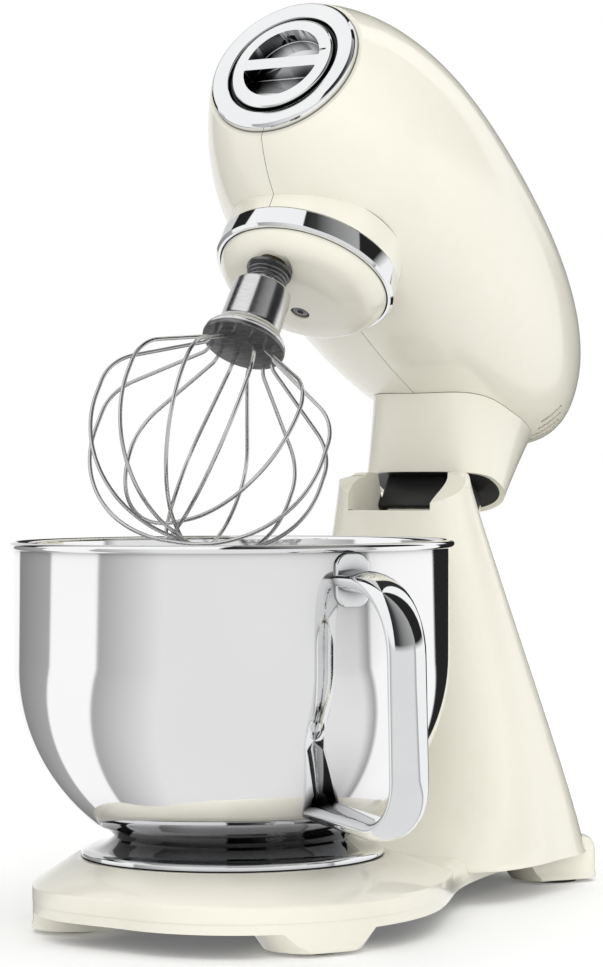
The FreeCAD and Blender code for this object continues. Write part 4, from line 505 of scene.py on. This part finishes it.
def make_handle_tab():
    """Rounded plate between the loop's upper end and the wall."""
    bpy.ops.object.select_all(action="DESELECT")
    bpy.ops.mesh.primitive_cube_add(size=2)
    tab = new_piece("handle_tab")
    tab.scale = (TAB_HALF_THICK * MM, TAB_HALF_WIDE * MM, TAB_HALF_HIGH * MM)
    tab.location = ((TAB_FACE - TAB_HALF_THICK) * MM, 0, HANDLE_PATH[0][1] * MM)
    bpy.ops.object.transform_apply(location=True, rotation=True, scale=True)
    round_edges(tab, TAB_CORNER * MM, 8, along="X")
    round_edges(tab, TAB_EDGE * MM, 4)
    tab.data.transform(TO_HANDLE_SIDE)
    fit(tab, "mixing_bowl", "chrome", "bowl_handle")


# Stand

COLUMN_FRONT = 158
SILL = 210
EAR_TOP = 229
EAR_SET_BACK = 23
EAR_STEPS = 12
SLOT_HALF = 26
CUT_LIFT = 0.05
CUT_AHEAD = 20
CUT_ABOVE = 15
CUT_INTO_SLOT = 4
CUT_OUTWARDS = 40


def make_stand():
    """The casting, with the front edges of its ears swept back above the sill, each in its own curve."""
    stand = copy_of("stand_casting", "stand_body")
    shares = [k / EAR_STEPS for k in range(EAR_STEPS + 1)]
    s_curve = [t * t * (3 - 2 * t) for t in shares]
    quarter_round = [1 - math.sqrt(1 - t * t) for t in shares]
    ahead, above = COLUMN_FRONT - CUT_AHEAD, EAR_TOP + CUT_ABOVE
    for side, sweep in ((1, s_curve), (-1, quarter_round)):
        front = [(COLUMN_FRONT + EAR_SET_BACK * back, SILL + (EAR_TOP - SILL) * t)
                 for back, t in zip(sweep, shares)]
        outline = [(ahead, SILL + CUT_LIFT)] + front + [(front[-1][0], above), (ahead, above)]
        carve(stand, prism("ear_front", outline, side * (SLOT_HALF - CUT_INTO_SLOT),
                           side * (SLOT_HALF + CUT_OUTWARDS)))
    smooth(COPY_SMOOTH_UP_TO)
    fit(stand, "stand", "cream_paint", "stand_casting")


APRON_STEPS = 192
APRON_INNER = 80
APRON_SPAN = 20
APRON_REACH = 118
APRON_OVERHANG = 0.2
BASE_WALL_AT = 16
RAY_FROM = 0.5


def make_base_apron():
    """Slope from the seat of the bowl out to a crisp edge over the side wall."""
    mesh = NODES["stand_casting"].data
    casting = BVHTree.FromPolygons([v.co for v in mesh.vertices], [p.vertices for p in mesh.polygons])
    inner, span = APRON_INNER, APRON_SPAN
    outer = inner + span
    ring = [(inner - 1.5, 37), (inner - 1.2, 38.5), (inner, 38.6), (outer - 1, 25.6), (outer - 0.2, 24.9),
            (outer, 24), (outer, 17), (outer - 3, 17), (outer - 3, 22), (inner - 1.5, 35), (inner - 1.5, 37)]
    apron = turn("base_apron", metres(ring), UPRIGHT, APRON_STEPS)
    for vertex in apron.data.vertices:
        out = Vector((vertex.co.x, vertex.co.y, 0))
        away = out.normalized()
        wall = casting.ray_cast(away * RAY_FROM + Vector((0, 0, BASE_WALL_AT * MM)), -away)[0]
        edge = min(Vector((wall.x, wall.y)).length / MM, APRON_REACH) + APRON_OVERHANG
        share = (out.length / MM - inner) / span
        if share > 0:
            radius = inner + (edge - inner) * share
            vertex.co.x, vertex.co.y = away.x * radius * MM, away.y * radius * MM
    fit(apron, "stand", "cream_paint", "stand_casting")


SLOT_LINER_TOP = 208.5
TONGUE_FRONT = 17.5
TONGUE_BACK = 6
TONGUE_LOW = 41
TONGUE_HIGH = 62
TONGUE_HALF = 25.4
TONGUE_EDGE = 1.5


def make_slot():
    """Dark lining of the slot below the sill."""
    liner = copy_of("column_liner", "slot_liner")
    edit(liner)
    bpy.ops.mesh.bisect(plane_co=(0, 0, SLOT_LINER_TOP * MM), plane_no=(0, 0, 1),
                        use_fill=True, clear_outer=True)
    settle(liner, UPRIGHT, COPY_SMOOTH_UP_TO)
    fit(liner, "stand", SLOT_OF["column_liner"], "column_liner")


def make_neck_underside():
    """The dark cover under the neck, and a dark block round the hinge tongue: painted shade that darkens the
    tongue in the slot.
    """
    hinge_y, hinge_z = HINGE.y / MM, HINGE.z / MM
    front, back = hinge_y - TONGUE_FRONT, hinge_y + TONGUE_BACK
    bottom, top = hinge_z + TONGUE_LOW, hinge_z + TONGUE_HIGH
    outline = [(front, bottom), (back, bottom), (back, top), (front, top)]
    # painted shade: a dark block over the cream tongue where the slot lies in shade
    shade_block = prism("tongue_shade_block", outline, -TONGUE_HALF, TONGUE_HALF)
    round_edges(shade_block, TONGUE_EDGE * MM, 3)
    shade_block.data.transform(RAISED)
    fit(shade_block, "head", SLOT_OF["neck_cover"], "neck_cover")
    cover = copy_of("neck_cover", "neck_underside")
    fit(cover, "head", SLOT_OF["neck_cover"], "neck_cover")


# Hub

BEZEL_BORE = 31
BEZEL_STEP = 6
SEAL_INNER = 29.7
SEAL_OUTER = 30.9
SEAL_SET_BACK = 3
SEAL_DEEP = 6


def make_hub():
    """Chrome bezel with a stepped back and a rounded face, and the rubber seal inside it."""
    low, high = local_box("hub_bezel", HUB)
    front = high.z / MM
    back = low.z / MM
    outer = high.x / MM
    bore = BEZEL_BORE
    step_radius, step = outer - BEZEL_STEP, front - BEZEL_STEP
    bezel = rounded([(bore, back, 0), (step_radius, back, 0), (step_radius, step, 0), (outer, step, 0.4),
                     (outer, front - 1.2, 1.1), (outer - 1.6, front, 0.8), (bore + 0.9, front - 0.7, 0.6),
                     (bore, front - 2.2, 0.5), (bore, back, 0)])
    fit(turn("bezel_ring", bezel, HUB, 160), "head", "chrome", "hub_bezel")
    seal_front = front - SEAL_SET_BACK
    seal_back = seal_front - SEAL_DEEP
    seal = [(SEAL_INNER, seal_back), (SEAL_OUTER, seal_back), (SEAL_OUTER, seal_front),
            (SEAL_INNER, seal_front), (SEAL_INNER, seal_back)]
    fit(turn("seal_ring", metres(seal), HUB, 128), "head", "rubber", "hub_seal")


CAP_RADIUS = 29.3
CAP_EDGE = 0.5
POCKET_RADIUS = 22
POCKET_DEEP = 9
POCKET_EDGE = 2.2
CROSSBAR = 7


def make_hub_cap():
    """Disc with two finger pockets either side of a crossbar."""
    low, high = local_box("hub_cap", HUB)
    front = high.z / MM
    back = low.z / MM
    disc = rounded([(0, back, 0), (CAP_RADIUS, back, 0), (CAP_RADIUS, front, 1.5), (0, front, 0)], 8)
    cap = turn("cap_disc", disc, HUB, 128)
    for side in (1, -1):
        bpy.ops.object.select_all(action="DESELECT")
        bpy.ops.mesh.primitive_cylinder_add(vertices=96, radius=POCKET_RADIUS * MM,
                                            depth=2 * POCKET_DEEP * MM)
        pocket = new_piece("pocket")
        edit(pocket)
        bpy.ops.mesh.bisect(plane_co=(0, side * CROSSBAR / 2 * MM, 0), plane_no=(0, side, 0),
                            use_fill=True, clear_inner=True)
        bpy.ops.object.mode_set(mode="OBJECT")
        round_edges(pocket, POCKET_EDGE * MM, 5)
        pocket.data.transform(HUB @ Matrix.Translation((0, 0, front * MM)))
        carve(cap, pocket)
    round_edges(cap, CAP_EDGE * MM, 3)
    fit(cap, "cap", "chrome", "hub_cap")


# Planetary drive under the head

BAND_THICK = 2.7


def make_trim_ring():
    """Chrome band with bevelled edges."""
    low, high = local_box("trim_ring", RAISED)
    radius, bottom, top = high.x / MM, low.z / MM, high.z / MM
    bore = radius - BAND_THICK
    ring = rounded([(bore, bottom, 0), (radius - 1.3, bottom, 0.3), (radius, bottom + 1.4, 0.5),
                    (radius, top - 0.8, 0.5), (radius - 0.8, top, 0.3), (bore, top, 0), (bore, bottom, 0)])
    fit(turn("ring_band", ring, RAISED, 192), "head", "chrome", "trim_ring")


DOME_RADIUS = 45.3
DOME_SHEET = 2.6
DOME_LOW = 228
DOME_EDGE = 0.5
BEATER_HOLE = 11.6
BEATER_HOLE_LONG = 8
RECESS_RADIUS = 5.2
RECESS_LONG = 6
SCREW_AT = Matrix.Translation((-2 * MM, 9 * MM, 0))
SCREW_RADIUS = 4.4
SCREW_SOCKET = 1.6


def make_planet_cover():
    """Shallow painted dome with a hole for the beater's shaft and a screw recess."""
    top = local_box("planet_cover", RAISED)[1].z / MM
    inner = DOME_RADIUS - DOME_SHEET
    dome = rounded([(0, DOME_LOW, 0), (24, DOME_LOW + 0.4, 40), (40, DOME_LOW + 5, 14),
                    (DOME_RADIUS, DOME_LOW + 13, 8), (DOME_RADIUS, top, 0), (inner, top, 0),
                    (inner, DOME_LOW + 14, 6), (0, DOME_LOW + 4, 0)], 10)
    cover = turn("planet_dome", dome, RAISED, 160)
    to_dome = Matrix.Translation((0, 0, DOME_LOW * MM))
    for name, radius, long, place, sides in (
            ("recess", RECESS_RADIUS, RECESS_LONG, RAISED @ SCREW_AT, 48),
            ("hole", BEATER_HOLE, BEATER_HOLE_LONG, BEATER, 64)):
        bpy.ops.object.select_all(action="DESELECT")
        bpy.ops.mesh.primitive_cylinder_add(vertices=sides, radius=radius * MM, depth=long * MM)
        cutter = new_piece(name)
        cutter.data.transform(place @ to_dome)
        carve(cover, cutter)
    round_edges(cover, DOME_EDGE * MM, 3)
    fit(cover, "carrier", "cream_paint", "planet_cover")


def make_cover_screw():
    """Screw with a socket, sunk in the recess of the dome."""
    seat, face, socket_floor = DOME_LOW + 2.6, DOME_LOW + 0.9, DOME_LOW + 2
    outline = rounded([(0, seat, 0), (SCREW_RADIUS, seat, 0), (SCREW_RADIUS, face + 0.3, 0.5),
                       (SCREW_SOCKET, face, 0.2), (SCREW_SOCKET - 0.2, socket_floor, 0.2),
                       (0, socket_floor, 0)])
    screw = turn("cover_screw", outline, RAISED @ SCREW_AT, 48)
    fit(screw, "carrier", "dark_steel", "planet_cover")


# Whisk

FERRULE_TOP = 215
SLEEVE_BORE = 6
SLEEVE_RADIUS = 16
COLLAR_RADIUS = 21.6


def make_ferrule():
    """Satin sleeve with a rounded top and a flared collar over the wires."""
    bottom = local_box("whisk_ferrule", BEATER)[0].z / MM
    start = (SLEEVE_BORE, FERRULE_TOP - 3, 0)
    sleeve = rounded([start, (SLEEVE_BORE, FERRULE_TOP, 0), (SLEEVE_RADIUS - 0.6, FERRULE_TOP, 1.6),
                      (SLEEVE_RADIUS, bottom + 7, 5), (COLLAR_RADIUS - 1.5, bottom + 3.6, 2.5),
                      (COLLAR_RADIUS, bottom + 1.2, 0.8), (COLLAR_RADIUS - 0.6, bottom, 0.4),
                      (SLEEVE_BORE, bottom, 0), start], 8)
    fit(turn("ferrule_sleeve", sleeve, BEATER, 128), "whisk", "polished_steel", "whisk_ferrule",
        finish="satin_steel")


def make_whisk_plate():
    """Dark disc with rounded edges that closes the collar from below."""
    low, high = local_box("whisk_plate", BEATER)
    bottom, top, radius = low.z / MM, high.z / MM, high.x / MM
    plate = rounded([(0, bottom, 0), (radius - 0.4, bottom, 0.9), (radius, top, 0.9), (0, top, 0)])
    fit(turn("plate_disc", plate, BEATER, 128), "whisk", "dark_steel", "whisk_plate")


SPRING_TURNS = 4.5
SPRING_WIRE = 0.6
SPRING_NARROW = 8.6
SPRING_WIDE = 10.9


def make_spring():
    """Conical coil wound with a Screw modifier, closed up by the push of the whisk."""
    high = local_box("beater_spring", BEATER)[1]
    wide = high.x - SPRING_WIRE * MM
    narrow = wide * SPRING_NARROW / SPRING_WIDE
    start = FERRULE_TOP * MM + SPRING_WIRE * MM
    rise = high.z - SPRING_WIRE * MM - start
    bpy.ops.object.select_all(action="DESELECT")
    bpy.ops.mesh.primitive_circle_add(vertices=12, radius=SPRING_WIRE * MM, location=(wide, 0, start),
                                      rotation=(math.pi / 2, 0, 0))
    coil = new_piece("spring_coil")
    bpy.ops.object.transform_apply(location=True, rotation=True, scale=True)
    wind = coil.modifiers.new("wind", "SCREW")
    wind.angle = 2 * math.pi * SPRING_TURNS
    wind.screw_offset = rise
    wind.steps = int(48 * SPRING_TURNS)
    wind.render_steps = wind.steps
    bpy.ops.object.modifier_apply(modifier="wind")
    for vertex in coil.data.vertices:
        share = min(max((vertex.co.z - start) / rise, 0), 1)
        squeeze = (narrow + (wide - narrow) * share) / wide
        vertex.co.x *= squeeze
        vertex.co.y *= squeeze
    edit(coil)
    bpy.ops.mesh.normals_make_consistent(inside=False)
    settle(coil, BEATER)
    fit(coil, "beater", "dark_steel", "beater_spring")
    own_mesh(coil)


make_bowl()
make_bowl_foot()
make_bowl_handle()
make_handle_tab()
make_stand()
make_base_apron()
make_slot()
make_neck_underside()
make_hub()
make_hub_cap()
make_trim_ring()
make_planet_cover()
make_cover_screw()
make_ferrule()
make_whisk_plate()
make_spring()


# Stage, light and camera


def ramp_of(nodes, stops):
    """Colour ramp with (position, grey level) stops."""
    ramp = nodes.new("ShaderNodeValToRGB")
    elements = ramp.color_ramp.elements
    while len(elements) < len(stops):
        elements.new(1)
    for element, (position, level) in zip(elements, stops):
        element.position = position
        element.color = (level, level, level, 1)
    return ramp


CAMERA_AT = Vector((0.828, -1.2885, 0.2315))
CAMERA_TURN = math.radians(31.39)
CAMERA_ROLL = math.radians(0.27)
FRAME_HIGH = 967
FOCAL_PIXELS = 3026
HORIZON_ABOVE_CENTRE = 11.8
SENSOR = 36


def make_camera():
    data = bpy.data.cameras.new("camera")
    data.sensor_width = SENSOR
    data.lens = SENSOR * FOCAL_PIXELS / FRAME_HIGH
    data.shift_y = -HORIZON_ABOVE_CENTRE / FRAME_HIGH
    camera = bpy.data.objects.new("camera", data)
    camera.location = CAMERA_AT
    camera.rotation_euler = (math.pi / 2, CAMERA_ROLL, CAMERA_TURN)
    bpy.context.scene.collection.objects.link(camera)
    bpy.context.scene.camera = camera


# Panels round the studio as (degrees round from the camera's side, negative to its left, grey level).
LOW_PANELS = [
    (-180, 1.0), (-146, 1.0), (-144, 0.24), (-107, 0.40), (-105, 1.0), (-72, 1.0), (-70, 0.40), (-34, 0.80),
    (68, 0.80), (75, 0.36), (77, 1.0), (131, 1.0), (133, 0.02), (170, 0.02), (172, 1.0), (180, 1.0)]
HIGH_PANELS = [
    (-180, 0.7), (-142, 0.7), (-141, 0.02), (-119, 0.02), (-118, 1.0), (-5, 1.0), (-4, 0.02), (20, 0.05),
    (45, 0.25), (76, 0.42), (77, 0.02), (119, 0.02), (121, 1.0), (148, 1.0), (149, 0.03), (180, 0.03)]
HIGH_FROM = 0.10
HIGH_TO = 0.22
AMBIENT = 0.58


def azimuth_share(nodes, links, direction):
    """Turn about the object from the camera's far side, as a share of a full turn, and the height."""
    turned = nodes.new("ShaderNodeMapping")
    turned.vector_type = "TEXTURE"
    turned.inputs["Rotation"].default_value = (0, 0, CAMERA_TURN)
    split = nodes.new("ShaderNodeSeparateXYZ")
    links.new(direction, turned.inputs["Vector"])
    links.new(turned.outputs["Vector"], split.inputs["Vector"])
    behind = nodes.new("ShaderNodeMath")
    behind.operation = "MULTIPLY"
    behind.inputs[1].default_value = -1
    links.new(split.outputs["Y"], behind.inputs[0])
    azimuth = nodes.new("ShaderNodeMath")
    azimuth.operation = "ARCTAN2"
    links.new(split.outputs["X"], azimuth.inputs[0])
    links.new(behind.outputs[0], azimuth.inputs[1])
    share = nodes.new("ShaderNodeMapRange")
    share.inputs["From Min"].default_value = -math.pi
    share.inputs["From Max"].default_value = math.pi
    links.new(azimuth.outputs[0], share.inputs["Value"])
    return share.outputs["Result"], split.outputs["Z"]


def panel_ramp(nodes, links, share, panels):
    """The panels' grey levels over a full turn."""
    ramp = ramp_of(nodes, [((degrees + 180) / 360, level) for degrees, level in panels])
    links.new(share, ramp.inputs["Fac"])
    return ramp


def make_world():
    """White to the camera, panels to shiny surfaces, an even soft light to the rest."""
    world = bpy.data.worlds.new("studio")
    bpy.context.scene.world = world
    world.use_nodes = True
    nodes, links = world.node_tree.nodes, world.node_tree.links
    back = nodes["Background"]
    place = nodes.new("ShaderNodeTexCoord")
    share, up = azimuth_share(nodes, links, place.outputs["Generated"])
    low = panel_ramp(nodes, links, share, LOW_PANELS)
    high = panel_ramp(nodes, links, share, HIGH_PANELS)
    height = nodes.new("ShaderNodeMapRange")
    height.inputs["From Min"].default_value = HIGH_FROM
    height.inputs["From Max"].default_value = HIGH_TO
    links.new(up, height.inputs["Value"])
    studio = nodes.new("ShaderNodeMix")
    studio.data_type = "RGBA"
    links.new(height.outputs["Result"], studio.inputs["Factor"])
    links.new(low.outputs["Color"], studio.inputs["A"])
    links.new(high.outputs["Color"], studio.inputs["B"])
    rays = nodes.new("ShaderNodeLightPath")
    soft = nodes.new("ShaderNodeMix")
    soft.data_type = "RGBA"
    soft.inputs["A"].default_value = (AMBIENT, AMBIENT, AMBIENT, 1)
    links.new(rays.outputs["Is Glossy Ray"], soft.inputs["Factor"])
    links.new(studio.outputs["Result"], soft.inputs["B"])
    seen = nodes.new("ShaderNodeMix")
    seen.data_type = "RGBA"
    seen.inputs["B"].default_value = (1, 1, 1, 1)
    links.new(rays.outputs["Is Camera Ray"], seen.inputs["Factor"])
    links.new(soft.outputs["Result"], seen.inputs["A"])
    links.new(seen.outputs["Result"], back.inputs["Color"])


def make_sun(name, strength, spread, turn_from_camera, height):
    """Wide soft lamp from a direction given from the camera's side and above the horizon, in degrees."""
    data = bpy.data.lights.new(name, "SUN")
    data.energy = strength
    data.angle = math.radians(spread)
    lamp = bpy.data.objects.new(name, data)
    lamp.rotation_euler = (math.radians(90 - height), 0, CAMERA_TURN + math.radians(turn_from_camera))
    lamp.visible_glossy = False
    bpy.context.scene.collection.objects.link(lamp)


FLOOR_REACH = 8
FLOOR_LIFT = 0.11


def floor_white():
    """Matt white, lifted for the camera, with the panels for shiny surfaces."""
    white = principled("floor_white", (0.96, 0.96, 0.955), Roughness=0.9)
    nodes, links = white.node_tree.nodes, white.node_tree.links
    place = nodes.new("ShaderNodeTexCoord")
    share = azimuth_share(nodes, links, place.outputs["Object"])[0]
    panels = panel_ramp(nodes, links, share, LOW_PANELS)
    glow = nodes.new("ShaderNodeEmission")
    links.new(panels.outputs["Color"], glow.inputs["Color"])
    rays = nodes.new("ShaderNodeLightPath")
    seen = nodes.new("ShaderNodeMixShader")
    lift = nodes.new("ShaderNodeEmission")
    lift.inputs["Color"].default_value = (FLOOR_LIFT, FLOOR_LIFT, FLOOR_LIFT, 1)
    links.new(rays.outputs["Is Camera Ray"], lift.inputs["Strength"])
    lit = nodes.new("ShaderNodeAddShader")
    links.new(nodes["Principled BSDF"].outputs["BSDF"], lit.inputs[0])
    links.new(lift.outputs["Emission"], lit.inputs[1])
    links.new(rays.outputs["Is Glossy Ray"], seen.inputs["Fac"])
    links.new(lit.outputs["Shader"], seen.inputs[1])
    links.new(glow.outputs["Emission"], seen.inputs[2])
    links.new(seen.outputs["Shader"], nodes["Material Output"].inputs["Surface"])
    return white


def make_floor():
    bpy.ops.object.select_all(action="DESELECT")
    bpy.ops.mesh.primitive_circle_add(vertices=96, radius=FLOOR_REACH, fill_type="NGON")
    floor = new_piece("floor")
    floor.data.materials.append(floor_white())


bpy.context.scene.view_settings.view_transform = "Standard"
make_camera()
make_world()
make_sun("top", 1.25, 70, 20, 80)
make_sun("fill", 1.35, 60, 12, 6)
make_floor()
